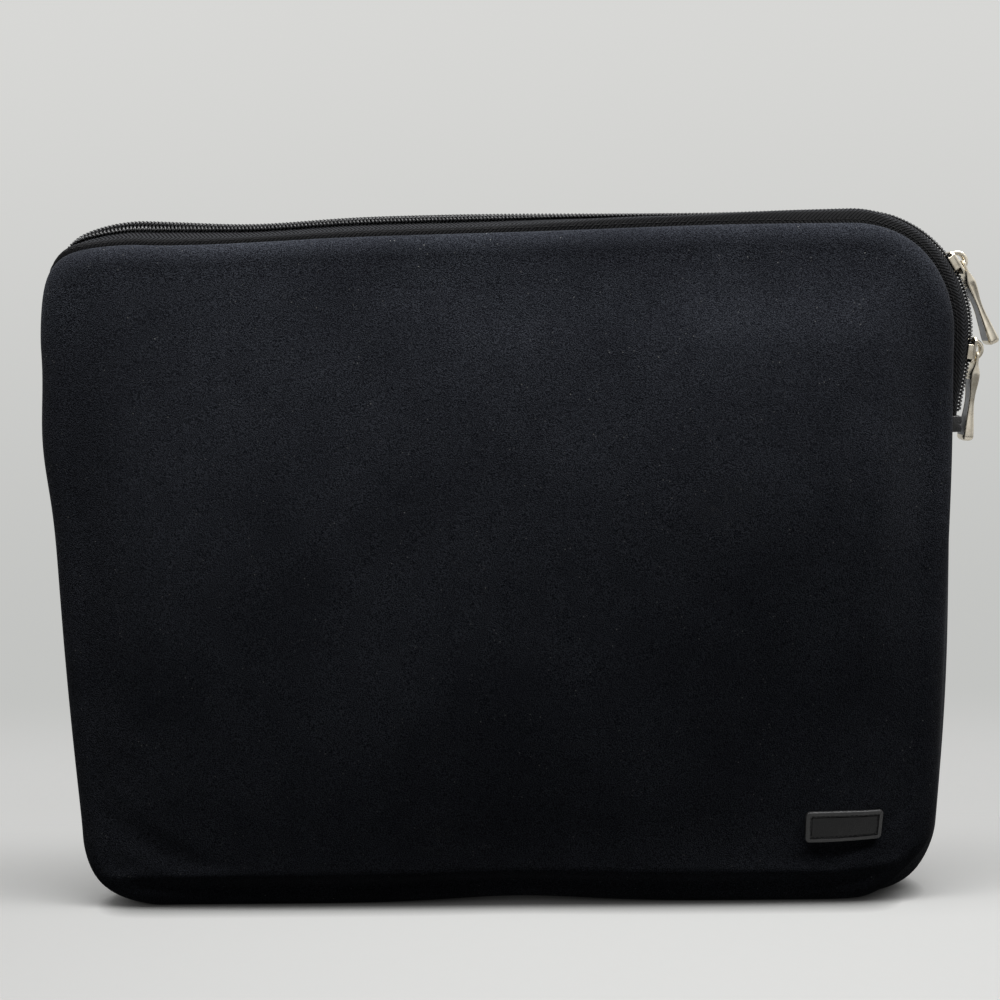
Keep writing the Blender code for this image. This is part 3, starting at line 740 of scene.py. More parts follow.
@dataclass(frozen=True)
class JerseyFinish:
    """Black knit jersey over foam, paler at its fibre tips, dusty in places, and darkened towards its foot
    by painted shade.
    """

    name: str = "neoprene_jersey"
    deep: Triple = (0.0056, 0.0061, 0.0086)
    pale: Triple = (0.0570, 0.0625, 0.0760)
    speck: Triple = (0.1500, 0.1520, 0.1500)
    dust: Triple = (0.0900, 0.0920, 0.0900)
    stitch: Grain = Grain(2100.0, 0.0, 0.34, 0.70)
    fibre: Grain = Grain(3400.0, 0.0, 0.36, 0.72)
    cloud: Grain = Grain(14.0, 3.0, 0.30, 0.72, 0.55)
    litter: Grain = Grain(120.0, 1.0, 0.52, 0.70)
    wear: Grain = Grain(420.0, 4.0, 0.50, 0.80)
    stitch_share: float = 0.55
    speck_scale: float = 430.0
    speck_rim: float = 0.17
    speck_core: float = 0.05
    dust_share: float = 0.35
    # Painted shade: how dark the foot is painted, and the height where that shade starts.
    painted_foot_shade: float = 0.22
    painted_shade_top: float = 0.220
    roughness: float = 0.92
    sheen: float = 0.06
    sheen_roughness: float = 0.45
    knit_depth: float = 0.00020
    knit_strength: float = 0.7
    smudges: tuple[Triple, ...] = ((0.092, 0.181, 0.020), (-0.030, 0.035, 0.018))

    def material(self) -> Material:
        """Build the jersey's nodes."""
        bench = NodeBench(self.name)
        spot = bench.place()
        stitch, fibre, cloud = (bench.grain(spot, grain) for grain in (self.stitch, self.fibre, self.cloud))
        fibre = bench.times(fibre, 1 - self.stitch_share)
        knit = bench.sum("MULTIPLY_ADD", stitch, self.stitch_share, fibre)
        colour = bench.blend(bench.times(knit, cloud), self.deep, self.pale)
        flecks = bench.grade(bench.cells(spot, self.speck_scale), self.speck_rim, self.speck_core)
        colour = bench.blend(bench.times(flecks, bench.grain(spot, self.litter)), colour, self.speck)
        for x, z, reach in self.smudges:
            patch = bench.patch(spot, (x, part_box("front_panel")[0].y, z), reach)
            worn = bench.times(patch, bench.grain(spot, self.wear))
            colour = bench.blend(bench.times(worn, self.dust_share), colour, self.dust)
        # Painted shade: below a set height the colour darkens towards the foot, standing in for the
        # overhead light's fall-off.
        height = bench.split(spot)["Z"]
        painted_foot_shading = bench.times(bench.grade(height, self.painted_shade_top, 0.0), self.painted_foot_shade)
        colour = bench.blend(painted_foot_shading, colour, BLACK)
        nap = {"Sheen Weight": self.sheen, "Sheen Roughness": self.sheen_roughness, GLOSS: 0.0}
        return bench.dress(colour, self.roughness, (knit, self.knit_depth, self.knit_strength), nap)


@dataclass(frozen=True)
class LiningFinish:
    """Brushed nylon lining, bonded to the foam inside."""

    name: str = "brushed_lining"
    deep: Triple = (0.020, 0.021, 0.024)
    pale: Triple = (0.048, 0.049, 0.054)
    nap: Grain = Grain(900.0, 2.0, 0.35, 0.75)
    nap_stretch: Triple = (1.0, 1.0, 0.35)
    nap_depth: float = 0.00018
    nap_strength: float = 0.6
    roughness: float = 0.8
    sheen: float = 0.2
    sheen_roughness: float = 0.4

    def material(self) -> Material:
        """Build the lining's nodes."""
        bench = NodeBench(self.name)
        nap = bench.grain(bench.stretch(bench.place(), self.nap_stretch), self.nap)
        colour = bench.blend(nap, self.deep, self.pale)
        sheen = {"Sheen Weight": self.sheen, "Sheen Roughness": self.sheen_roughness}
        return bench.dress(colour, self.roughness, (nap, self.nap_depth, self.nap_strength), sheen)


@dataclass(frozen=True)
class TapeFinish:
    """Woven zip tape: diagonal twill ribs that turn back on themselves in a herringbone, darkened towards
    its seam by painted shade.
    """

    name: str = "herringbone_tape"
    deep: Triple = (0.0030, 0.0031, 0.0036)
    pale: Triple = (0.0300, 0.0310, 0.0342)
    rib_pitch: float = 0.0017
    rib_span: tuple[float, float] = (0.15, 0.70)
    rib_depth: float = 0.00036
    rib_strength: float = 0.9
    band: float = 0.0046
    slope: float = -1.1
    yarn_scale: float = 2400.0
    yarn_lift: float = 0.25
    yarn_relief: float = 0.3
    # Painted shade: where the tape starts to darken towards its seam, and where it is darkest.
    painted_crease_shade_start: float = 0.0050
    painted_crease_shade_full: float = 0.0061
    roughness: float = 0.72
    gloss: float = 0.08

    def material(self) -> Material:
        """Build the weave from the tape's own UV map, which is in metres."""
        bench = NodeBench(self.name)
        flat = bench.split(bench.place("UV"))
        turned = bench.sum("PINGPONG", flat["Y"], self.band)
        slide = bench.sum("ADD", flat["X"], bench.times(turned, self.slope))
        ridge = bench.ribs(slide, self.rib_pitch, self.rib_span)
        yarn = bench.noise(bench.place(), self.yarn_scale, 1.0)
        tone = bench.times(ridge, bench.sum("ADD", yarn, self.yarn_lift))
        # Painted shade: the tape darkens towards its seam, where the panel's edge would shade it.
        tone = bench.times(tone, bench.grade(flat["Y"], self.painted_crease_shade_full, self.painted_crease_shade_start))
        colour = bench.blend(tone, self.deep, self.pale)
        height = bench.sum("MULTIPLY_ADD", yarn, self.yarn_relief, ridge)
        gloss = {GLOSS: self.gloss}
        return bench.dress(colour, self.roughness, (height, self.rib_depth, self.rib_strength), gloss)


@dataclass(frozen=True)
class PlasticFinish:
    """Drawn nylon of the coil, or the thread that sews it: dark and satin, with fine streaks."""

    name: str
    deep: Triple
    pale: Triple
    roughness: float
    grain_scale: float
    grain_span: tuple[float, float] = (0.3, 0.75)
    grain_depth: float = 0.00005
    grain_strength: float = 0.5
    streak: float = 0.18
    gloss: float = 0.35

    def material(self) -> Material:
        """Build the nylon's nodes."""
        bench = NodeBench(self.name)
        grain = bench.grain(bench.place(), Grain(self.grain_scale, 3.0, *self.grain_span))
        rough = bench.sum("MULTIPLY_ADD", grain, self.streak, self.roughness - self.streak / 2)
        colour = bench.blend(grain, self.deep, self.pale)
        gloss = {GLOSS: self.gloss}
        return bench.dress(colour, rough, (grain, self.grain_depth, self.grain_strength), gloss)


@dataclass(frozen=True)
class NickelFinish:
    """Satin nickel plate, warm in tone, brushed along the part and worn on its high spots."""

    name: str = "satin_nickel_plate"
    plain: Triple = (0.700, 0.645, 0.540)
    warm: Triple = (0.560, 0.500, 0.400)
    roughness: float = 0.22
    brush: Grain = Grain(1500.0, 2.0, 0.3, 0.7)
    brush_stretch: Triple = (1.0, 1.0, 0.12)
    brush_roughness: float = 0.08
    brush_depth: float = 0.00001
    brush_strength: float = 0.12
    tarnish: Grain = Grain(260.0, 4.0, 0.42, 0.72)

    def material(self) -> Material:
        """Build the plating's nodes."""
        bench = NodeBench(self.name)
        spot = bench.place()
        brushed = bench.grain(bench.stretch(spot, self.brush_stretch), self.brush)
        rough = bench.sum("MULTIPLY_ADD", brushed, self.brush_roughness, self.roughness)
        colour = bench.blend(bench.grain(spot, self.tarnish), self.plain, self.warm)
        relief = (brushed, self.brush_depth, self.brush_strength)
        return bench.dress(colour, rough, relief, {"Metallic": 1.0})


@dataclass(frozen=True)
class LeatheretteFinish:
    """Coated leatherette with a fine pebbled grain."""

    name: str
    deep: Triple
    pale: Triple
    roughness: float
    gloss: float = 0.5
    wear: Grain = Grain(300.0, 4.0, 0.35, 0.75)
    wear_roughness: float = 0.2
    pebble_scale: float = 1900.0
    pebble_rim: float = 0.75
    pebble_core: float = 0.15
    pebble_depth: float = 0.00010
    pebble_strength: float = 0.6

    def material(self) -> Material:
        """Build the leatherette's nodes."""
        bench = NodeBench(self.name)
        spot = bench.place()
        pebble = bench.grade(bench.cells(spot, self.pebble_scale), self.pebble_rim, self.pebble_core)
        wear = bench.grain(spot, self.wear)
        colour = bench.blend(bench.times(pebble, wear), self.deep, self.pale)
        rough = bench.sum("MULTIPLY_ADD", wear, self.wear_roughness, self.roughness)
        gloss = {GLOSS: self.gloss}
        return bench.dress(colour, rough, (pebble, self.pebble_depth, self.pebble_strength), gloss)


@dataclass(frozen=True)
class RibbonFinish:
    """Grosgrain binding ribbon with ribs across it."""

    name: str = "grosgrain_ribbon"
    deep: Triple = (0.008, 0.008, 0.009)
    pale: Triple = (0.040, 0.040, 0.044)
    rib_pitch: float = 0.0009
    rib_span: tuple[float, float] = (0.1, 0.8)
    rib_depth: float = 0.00022
    rib_strength: float = 0.8
    yarn_scale: float = 2000.0
    yarn_lift: float = 0.2
    roughness: float = 0.65

    def material(self) -> Material:
        """Build the ribs from the ribbon's own UV map, which is in metres."""
        bench = NodeBench(self.name)
        ridge = bench.ribs(bench.split(bench.place("UV"))["X"], self.rib_pitch, self.rib_span)
        yarn = bench.noise(bench.place(), self.yarn_scale, 1.0)
        tone = bench.times(ridge, bench.sum("ADD", yarn, self.yarn_lift))
        colour = bench.blend(tone, self.deep, self.pale)
        return bench.dress(colour, self.roughness, (ridge, self.rib_depth, self.rib_strength))


@dataclass(frozen=True)
class PaperFinish:
    """Pale seamless paper: it keeps the sleeve's shadow, adds a painted contact shadow near it, glows
    behind it with painted shade darkening the wall's foot, and is clear from its back.
    """

    name: str = "studio_paper"
    floor: Triple = (0.62, 0.62, 0.610)
    # Painted shade: the wall's glow is darker at its foot than at its head.
    wall_foot: Triple = (0.545, 0.550, 0.537)
    wall_head: Triple = (0.690, 0.690, 0.675)
    fibre: Grain = Grain(180.0, 3.0, 0.2, 0.8)
    fibre_share: float = 0.05
    roughness: float = 0.9
    gloss: float = 0.1
    bounce: float = 0.13
    floor_glow: float = 0.22
    glow_start: float = -0.010
    glow_full: float = 0.070
    # Painted contact shadow: how far it reaches and how steeply it darkens.
    contact_shadow_reach: float = 0.010
    contact_shadow_power: float = 1.4
    wall_start: float = 0.004
    wall_full: float = 0.050
    wall_top: float = 0.480

    def material(self) -> Material:
        """Build the paper, which glows for the camera and for reflections alone."""
        bench = NodeBench(self.name)
        spot = bench.place()
        parts = bench.split(spot)
        path = bench.add("ShaderNodeLightPath").outputs
        seen = bench.sum("MAXIMUM", path["Is Camera Ray"], path["Is Glossy Ray"])
        seen = bench.sum("MAXIMUM", seen, path["Is Transmission Ray"])
        # Painted shade: the glowing wall darkens from its head down to its foot.
        upright = bench.grade(parts["Z"], self.wall_start, self.wall_full)
        rise = bench.grade(parts["Z"], self.wall_full, self.wall_top)
        wall = bench.blend(rise, self.wall_foot, self.wall_head)
        fibre = bench.times(bench.grain(spot, self.fibre), self.fibre_share)
        # Painted contact shadow: ambient occlusion darkens the floor's colour, and its glow, near the
        # sleeve.
        open_air = bench.add("ShaderNodeAmbientOcclusion", {"Distance": self.contact_shadow_reach}).outputs["AO"]
        painted_contact_light = bench.sum("POWER", open_air, self.contact_shadow_power)
        tint = bench.blend(painted_contact_light, BLACK, bench.blend(fibre, self.floor, self.wall_foot))
        colour = bench.blend(seen, bench.blend(self.bounce, BLACK, self.floor), tint)
        matt = {"Base Color": colour, "Roughness": self.roughness, GLOSS: self.gloss}
        bench.feed(bench.shader, matt)
        glow = bench.add("ShaderNodeEmission", {"Color": bench.blend(upright, tint, wall), "Strength": 1.0})
        share = bench.grade(parts["Y"], self.glow_start, self.glow_full, self.floor_glow)
        lit = bench.mix(bench.times(seen, share), bench.shader, glow)
        behind = bench.add("ShaderNodeNewGeometry").outputs["Backfacing"]
        shown = bench.mix(behind, lit, bench.add("ShaderNodeBsdfTransparent"))
        bench.feed(bench.output, {"Surface": shown.outputs[0]})
        return bench.owner


def stand(name: str, data: bpy.types.ID) -> Object:
    """Put an object with the given data into the scene."""
    item = bpy.data.objects.new(name, data)
    bpy.context.scene.collection.objects.link(item)
    return item


def meshed(bm: BMesh, name: str) -> Mesh:
    """Turn a bmesh into a mesh and free it."""
    mesh = bpy.data.meshes.new(name)
    bm.to_mesh(mesh)
    bm.free()
    return mesh


def grid_sheet(
    columns: int, rows: int, place: Placement, scale: tuple[float, float] | None = None
) -> BMesh:
    """Make a grid and move its points.

    Args:
        columns: Steps along the grid.
        rows: Steps across it.
        place: Gives each point's place from its shares along and across, from 0 to 1.
        scale: Real length and width for a UV map, if the grid needs one.

    Returns:
        The moved grid.
    """
    bm = bmesh.new()
    bmesh.ops.create_grid(bm, x_segments=columns, y_segments=rows, size=0.5)
    plan = np.array([vert.co[:2] for vert in bm.verts]) + 0.5
    if scale is not None:
        layer = bm.loops.layers.uv.new("UVMap")
        for face in bm.faces:
            for loop in face.loops:
                loop[layer].uv = ((loop.vert.co.x + 0.5) * scale[0], (loop.vert.co.y + 0.5) * scale[1])
    for vert, point in zip(bm.verts, place(plan[:, 0], plan[:, 1])):
        vert.co = point
    return bm


def close_tube(bm: BMesh) -> BMesh:
    """Weld a grid that was rolled into a tube, and cap its open ends.

    Args:
        bm: The rolled grid.

    Returns:
        The closed tube.
    """
    bmesh.ops.remove_doubles(bm, verts=bm.verts, dist=WELD_GAP)
    rim = [edge for edge in bm.edges if edge.is_boundary]
    if rim:
        bmesh.ops.holes_fill(bm, edges=rim, sides=0)
    return bm


def ring_face(outline: Outline, profile: Knots, columns: int, rows: int) -> BMesh:
    """One skin of a pad on an outline, whose edge follows a profile of rings.

    Args:
        outline: The pad's outline.
        profile: Inset and Y of each ring, from the seam to the face.
        columns: Grid steps across the pad.
        rows: Grid steps up the pad.

    Returns:
        The open skin.
    """
    rings = len(profile) - 1
    insets, depths = np.array(profile).T

    def face(u: Array, v: Array) -> Array:
        """Place the face and its edge rings."""
        i, j = numbers(u, columns), numbers(v, rows)
        ring = np.minimum.reduce((i, columns - i, j, rows - j, np.full_like(i, rings)))
        inner_u = np.clip((i - rings) / (columns - 2 * rings), 0.0, 1.0)
        inner_v = np.clip((j - rings) / (rows - 2 * rings), 0.0, 1.0)
        x, z = outline.patch(inner_u, inner_v, insets[-1])
        share_u, share_v = (i - ring) / (columns - 2 * ring), (j - ring) / (rows - 2 * ring)
        on_edge = {
            Edge.LEFT: (i == ring, share_v),
            Edge.RIGHT: (columns - i == ring, share_v),
            Edge.BOTTOM: (j == ring, share_u),
            Edge.TOP: (rows - j == ring, share_u),
        }
        for edge, (chosen, share) in on_edge.items():
            chosen = chosen & (ring < rings)
            track = outline.edge(edge, share, insets[ring])
            x, z = np.where(chosen, track.x, x), np.where(chosen, track.z, z)
        return np.stack((x, depths[ring], z), axis=1)

    return grid_sheet(columns, rows, face)


def ring_slab(
    outline: Outline, profile: Knots, back: tuple[float, float], columns: int, rows: int
) -> BMesh:
    """A closed pad on an outline, whose edge follows a profile of rings.

    Args:
        outline: The pad's outline.
        profile: Inset and Y of each ring, from the seam to the face.
        back: Inset and Y of the flat back.
        columns: Grid steps across the pad.
        rows: Grid steps up the pad.

    Returns:
        The closed pad, with the faces of its back in material slot 1.
    """
    bm = ring_face(outline, profile, columns, rows)
    lining = ring_face(outline, (profile[0], back), columns, rows)
    for item in lining.faces:
        item.material_index = 1
    carried = meshed(lining, "lining")
    bm.from_mesh(carried)
    bpy.data.meshes.remove(carried)
    rim = [vert for vert in bm.verts if vert.is_boundary]
    bmesh.ops.remove_doubles(bm, verts=rim, dist=WELD_GAP)
    return bm


def ribbon_loop(line: Array, thickness: float) -> Array:
    """Thicken many bent lines at once into closed loops.

    Args:
        line: Points of shape (lines, points, 2).
        thickness: Full thickness of the ribbon.

    Returns:
        Loops of shape (lines, 2 * points + 1, 2), each ending where it starts.
    """
    slope = np.gradient(line, axis=1)
    slope = slope / np.linalg.norm(slope, axis=2, keepdims=True)
    normal = np.stack((-slope[:, :, 1], slope[:, :, 0]), axis=2)
    outer, inner = line + normal * thickness / 2, line - normal * thickness / 2
    return np.concatenate((outer, inner[:, ::-1], outer[:, :1]), axis=1)


def soften(line: Array, rounds: int = 3) -> Array:
    """Round the corners of many bent lines by cutting them again and again.

    Args:
        line: Points of shape (lines, points, 2).
        rounds: How often the corners are cut.

    Returns:
        The rounded lines, with their ends kept.
    """
    for _ in range(rounds):
        near = 0.75 * line[:, :-1] + 0.25 * line[:, 1:]
        far = 0.25 * line[:, :-1] + 0.75 * line[:, 1:]
        cut = np.stack((near, far), axis=2).reshape(line.shape[0], -1, 2)
        line = np.concatenate((line[:, :1], cut, line[:, -1:]), axis=1)
    return line


def even(line: Array) -> Array:
    """Spread the points of many bent lines evenly along each.

    Args:
        line: Points of shape (lines, points, 2).

    Returns:
        As many points on the same lines.
    """
    steps = np.linalg.norm(np.diff(line, axis=1), axis=2)
    walks = np.concatenate((np.zeros((len(line), 1)), np.cumsum(steps, axis=1)), axis=1)
    shares = np.linspace(0.0, 1.0, line.shape[1])
    spread = []
    for walk, row in zip(walks, line):
        spread.append(np.stack([np.interp(shares * walk[-1], walk, part) for part in row.T], axis=1))
    return np.stack(spread)


def tube(path: Array, aim: Array, radius: Array | float, sides: int) -> BMesh:
    """A closed round wire along a path.

    Args:
        path: Points of the wire's middle line.
        aim: A direction for each point, roughly square to the path.
        radius: The wire's radius, one for all or one for each point.
        sides: How many sides the wire has.

    Returns:
        The wire.
    """
    slope = np.gradient(path, axis=0)
    slope = slope / np.linalg.norm(slope, axis=1, keepdims=True)
    aim = aim - slope * np.sum(aim * slope, axis=1, keepdims=True)
    aim = aim / np.linalg.norm(aim, axis=1, keepdims=True)
    cross = np.cross(slope, aim)
    size = np.broadcast_to(radius, (len(path),))
    steps = len(path) - 1

    def skin(u: Array, v: Array) -> Array:
        """Place the wire's skin."""
        at, turn = numbers(u, steps), round_angle(v, sides)[:, None]
        around = aim[at] * np.cos(turn) + cross[at] * np.sin(turn)
        return path[at] + around * size[at][:, None]

    return close_tube(grid_sheet(steps, sides, skin))


def loft(track: Track, loops: Array, scale: tuple[float, float] | None = None) -> BMesh:
    """Skin closed loops that follow a track.

    Args:
        track: The path, with a place for each loop.
        loops: Distances across and out, of shape (places, points, 2), each loop ending where it starts.
        scale: Real length and width for a UV map, if the skin needs one.

    Returns:
        The closed skin.
    """
    steps, around = loops.shape[0] - 1, loops.shape[1] - 1

    def skin(u: Array, v: Array) -> Array:
        """Place the skin."""
        at = numbers(u, steps)
        across, out = loops[at, numbers(v, around)].T
        return track.pick(at).spot(across, out)

    return close_tube(grid_sheet(steps, around, skin, scale))


def add_stitch(bm: BMesh, first: Vector, last: Vector, radius: float) -> None:
    """Add one stitch, a ball drawn out between two points.

    Args:
        bm: Where it is added.
        first: One end.
        last: The other end.
        radius: Radius of the thread.
    """
    along = last - first
    turned = along.to_track_quat("Z", "Y").to_matrix().to_4x4()
    shape = Matrix.Diagonal((radius, radius, along.length / 2, 1.0))
    placed = Matrix.Translation((first + last) / 2) @ turned @ shape
    bmesh.ops.create_uvsphere(bm, u_segments=6, v_segments=5, radius=1.0, matrix=placed)


@dataclass
class Piece:
    """A finished object, with its record slot and the CAD nodes it stands for."""

    name: str
    mesh: Mesh
    materials: Sequence[Material]
    slot: Slot
    replaces: Sequence[str]
    item: Object = field(init=False)
    crease: float = math.radians(50.0)

    def __post_init__(self) -> None:
        """Make the object, dress it and hide the CAD nodes it stands for."""
        self.mesh.name = self.name
        for material in self.materials:
            self.mesh.materials.append(material)
        self.mesh.shade_smooth()
        self.mesh.set_sharp_from_angle(angle=self.crease)
        self.item = stand(self.name, self.mesh)
        if self.replaces:
            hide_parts(*self.replaces)
        LOG.info("%s: %d faces", self.name, len(self.mesh.polygons))

    def ride(self, body: Body) -> Object:
        """Fix the piece to one body."""
        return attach(self.item, body.value)

    def fold(self) -> Object:
        """Bake the piece's placement into its mesh.

        Returns:
            The piece's object.
        """
        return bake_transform(self.item)


def settle(bm: BMesh, drape: Drape | None = None) -> Mesh:
    """Slump a bmesh, turn its faces outwards and make it a mesh.

    Args:
        bm: The bmesh, which is freed.
        drape: The soft form to follow, or None for a hard piece.

    Returns:
        The mesh.
    """
    if drape is not None:
        moved = drape.move(np.array([vert.co for vert in bm.verts]))
        for vert, point in zip(bm.verts, moved):
            vert.co = point
    bmesh.ops.recalc_face_normals(bm, faces=bm.faces)
    return meshed(bm, "settled")


def cast(
    shapes: Sequence[BMesh], cuts: Sequence[BMesh] = (), voxel: float = 0.0, rounds: int = 0
) -> Mesh:
    """Fuse shapes into one casting.

    Args:
        shapes: Closed shapes to join.
        cuts: Closed shapes to take away.
        voxel: Size of the grid that softens the casting's edges, or 0 to keep them crisp.
        rounds: How often its surface is smoothed.

    Returns:
        The casting's mesh.
    """
    helpers = [stand("mould", settle(bm)) for bm in (*shapes, *cuts)]
    for number, helper in enumerate(helpers[1:], start=1):
        joint = helpers[0].modifiers.new("joint", "BOOLEAN")
        joint.operation = "UNION" if number < len(shapes) else "DIFFERENCE"
        joint.object = helper
    if voxel:
        skin = helpers[0].modifiers.new("skin", "REMESH")
        skin.mode, skin.voxel_size, skin.adaptivity = "VOXEL", voxel, 0.0
        polish = helpers[0].modifiers.new("polish", "SMOOTH")
        polish.factor, polish.iterations = POLISH, rounds
    graph = bpy.context.evaluated_depsgraph_get()
    mesh = bpy.data.meshes.new_from_object(helpers[0].evaluated_get(graph))
    for helper in helpers:
        bpy.data.objects.remove(helper)
    return mesh


def round_edges(bm: BMesh, edges: Sequence[bmesh.types.BMEdge], radius: float) -> BMesh:
    """Round some edges of a shape, unless the radius is 0."""
    if radius:
        bmesh.ops.bevel(bm, geom=edges, offset=radius, segments=3, profile=0.5, affect="EDGES", material=-1)
    return bm


def block(low: Sequence[float], high: Sequence[float], edge: float = 0.0) -> BMesh:
    """A box between two corners, with its edges rounded.

    Args:
        low: The lowest corner.
        high: The highest corner.
        edge: Radius of the edges.

    Returns:
        The box.
    """
    bm = bmesh.new()
    size = Vector(high) - Vector(low)
    placed = Matrix.Translation((Vector(high) + Vector(low)) / 2) @ Matrix.Diagonal((*size, 1.0))
    bmesh.ops.create_cube(bm, size=1.0, matrix=placed)
    return round_edges(bm, bm.edges[:], edge)


def slab(points: Sequence[Sequence[float]], lift: Sequence[float], edge: float = 0.0) -> BMesh:
    """Extrude a flat outline, with the edges of both ends rounded.

    Args:
        points: The outline's corners.
        lift: How far and which way it is extruded.
        edge: Radius of the rounded edges.

    Returns:
        The slab.
    """
    bm = bmesh.new()
    face = bm.faces.new([bm.verts.new(point) for point in points])
    raised = bmesh.ops.extrude_face_region(bm, geom=[face])["geom"]
    ends = [face, *(item for item in raised if isinstance(item, bmesh.types.BMFace))]
    top = [item for item in raised if isinstance(item, bmesh.types.BMVert)]
    bmesh.ops.translate(bm, vec=lift, verts=top)
    return round_edges(bm, list({item for end in ends for item in end.edges}), edge)


@dataclass
class HalfPart:
    """A soft piece of one half of the sleeve: in front its placement is baked into its mesh, behind it
    rides on the sleeve.
    """

    form: SleeveForm
    drape: Drape
    side: Side

    def __post_init__(self) -> None:
        """Name the half and its panel."""
        self.half = self.side.name.lower()
        self.cover = f"{self.half}_cover"

    def pick(self, front: object, back: object) -> object:
        """Choose by side."""
        return front if self.side is Side.FRONT else back

    def hang(
        self, name: str, bm: BMesh, finish: Sequence[Material], slot: Slot, nodes: Sequence[str]
    ) -> Object:
        """Settle a shape; behind, hang it on the sleeve's body, in front, bake its placement.

        Args:
            name: The piece's name.
            bm: Its shape, which is freed.
            finish: Its materials.
            slot: Its material slot.
            nodes: The CAD nodes that it replaces.

        Returns:
            The piece's object.
        """
        piece = Piece(name, settle(bm, self.drape), finish, slot, nodes)
        return piece.fold() if self.side is Side.FRONT else piece.ride(Body.SLEEVE)


@dataclass
class Cover(HalfPart):
    """A padded panel: jersey outside, foam between and lining inside, with a soft rolled edge."""

    columns: int = 152
    rows: int = 118
    shoulder: float = 0.0085
    rings: int = 8
    seam_lift: float = 0.0003
    lining_inset: float = 0.0012

    def build(self, jersey: Material, lining: Material) -> Object:
        """Make the panel as a closed pad.

        Args:
            jersey: Outside finish.
            lining: Inside finish.

        Returns:
            The panel's object.
        """
        form, sign = self.form, self.side.value
        thickness = form.outer - form.inner - self.seam_lift
        profile = []
        for ring in range(self.rings + 1):
            turn = QUARTER * (1 - ring / self.rings)
            depth = form.outer - thickness * (1 - math.cos(turn))
            profile.append((self.shoulder * (1 - math.sin(turn)), sign * depth))
        back = (self.lining_inset, sign * form.inner)
        bm = ring_slab(form.panel(), profile, back, self.columns, self.rows)
        nodes = self.pick(("front_panel", "front_flap"), ("back_panel",))
        item = self.hang(self.cover, bm, (jersey, lining), Slot.NEOPRENE, nodes)
        return item


@dataclass
class Gusset:
    """The neoprene strip that closes the lower sides and the bottom."""

    form: SleeveForm
    drape: Drape
    steps: int = 300
    thickness: float = 0.0037
    crown: float = 0.0005
    crown_span: float = 0.75
    edge_round: float = 0.0014

    def build(self, jersey: Material) -> Object:
        """Make the strip.

        Args:
            jersey: Its finish.

        Returns:
            The strip's object.
        """
        half = self.form.gusset_high.y
        section = [(-half, -self.thickness)]
        for turn in np.linspace(0.0, QUARTER, 5):
            across, out = 1 - math.cos(turn), math.sin(turn) - 1
            section.append((self.edge_round * across - half, self.edge_round * out))
        for share in np.linspace(-self.crown_span, self.crown_span, 9):
            section.append((share * half, -self.crown * share * share))
        section += [(-across, out) for across, out in section[5::-1]]
        section.append(section[0])
        bm = loft(self.strip(), np.broadcast_to(section, (self.steps + 1, len(section), 2)))
        mesh = settle(bm, self.drape)
        piece = Piece("gusset_strip", mesh, (jersey,), Slot.NEOPRENE, ("edge_gusset",))
        return piece.ride(Body.SLEEVE)

    def strip(self) -> Track:
        """The strip's path: down the left side, along the bottom and up the right side."""
        form = self.form
        radius = form.base_radius
        inset, level = form.half_width - radius, form.base + radius
        side = form.gusset_high.z - level
        bend = radius * QUARTER
        walk = np.linspace(0.0, 2 * side + 2 * bend + 2 * inset, self.steps + 1) - side - bend - inset
        along, sign = np.abs(walk), np.where(walk < 0.0, -1.0, 1.0)
        turn = np.clip((along - inset) / radius, 0.0, QUARTER)
        x = np.minimum(along, inset) + radius * np.sin(turn)
        z = level - radius * np.cos(turn) + np.maximum(along - inset - bend, 0.0)
        return Track(sign * x, z, sign * np.sin(turn), -np.cos(turn), np.zeros_like(x))


@dataclass
class ZipTape(HalfPart):
    """One woven tape: flat under its coil, rolled over a shoulder, and sewn in behind the panel."""

    steps: int = 420
    thickness: float = 0.0007
    edge_setback: float = 0.00045
    drop_below_chain: float = 0.0012
    shoulder: float = 0.00585
    rim_setback: float = 0.00065
    rim_rise: float = 0.0005
    hem: float = 0.0080

    def line(self, run: Array, height: Array) -> Array:
        """The tape's bent line across, at each distance along the zip.

        Args:
            run: Distances along the zip.
            height: The zip's height there.

        Returns:
            Points across and out, of shape (runs, points, 2).
        """
        edge = np.maximum(self.form.row_offset(run), 0.0) + self.edge_setback
        level = height - self.drop_below_chain
        rim = self.form.inner - self.rim_setback
        flat = (edge, self.shoulder)
        points = [self.form.roll(run, self.side, across, level, height) for across in flat]
        for out in (self.rim_rise, -self.hem):
            points.append(np.broadcast_to((rim, out), (len(run), 2)))
        return even(soften(np.stack(points, axis=1)))

    def build(self, weave: Material) -> Object:
        """Make the tape.

        Args:
            weave: Its finish.

        Returns:
            The tape's object.
        """
        run = np.linspace(-self.form.chain_end, self.form.chain_end, self.steps + 1)
        track = self.form.chain(run)
        line = self.line(run, track.height)
        width = float(np.mean(np.sum(np.linalg.norm(np.diff(line, axis=1), axis=2), axis=1)))
        length = float(run[-1] - run[0])
        loops = ribbon_loop(line, self.thickness) * (self.side.value, 1.0)
        bm = loft(track, loops, (length, 2 * width))
        nodes = self.pick(("front_tape_mouth", "front_tape_side"), ("back_tape",))
        item = self.hang(f"{self.half}_zip_tape", bm, (weave,), Slot.TAPE, nodes)
        return item


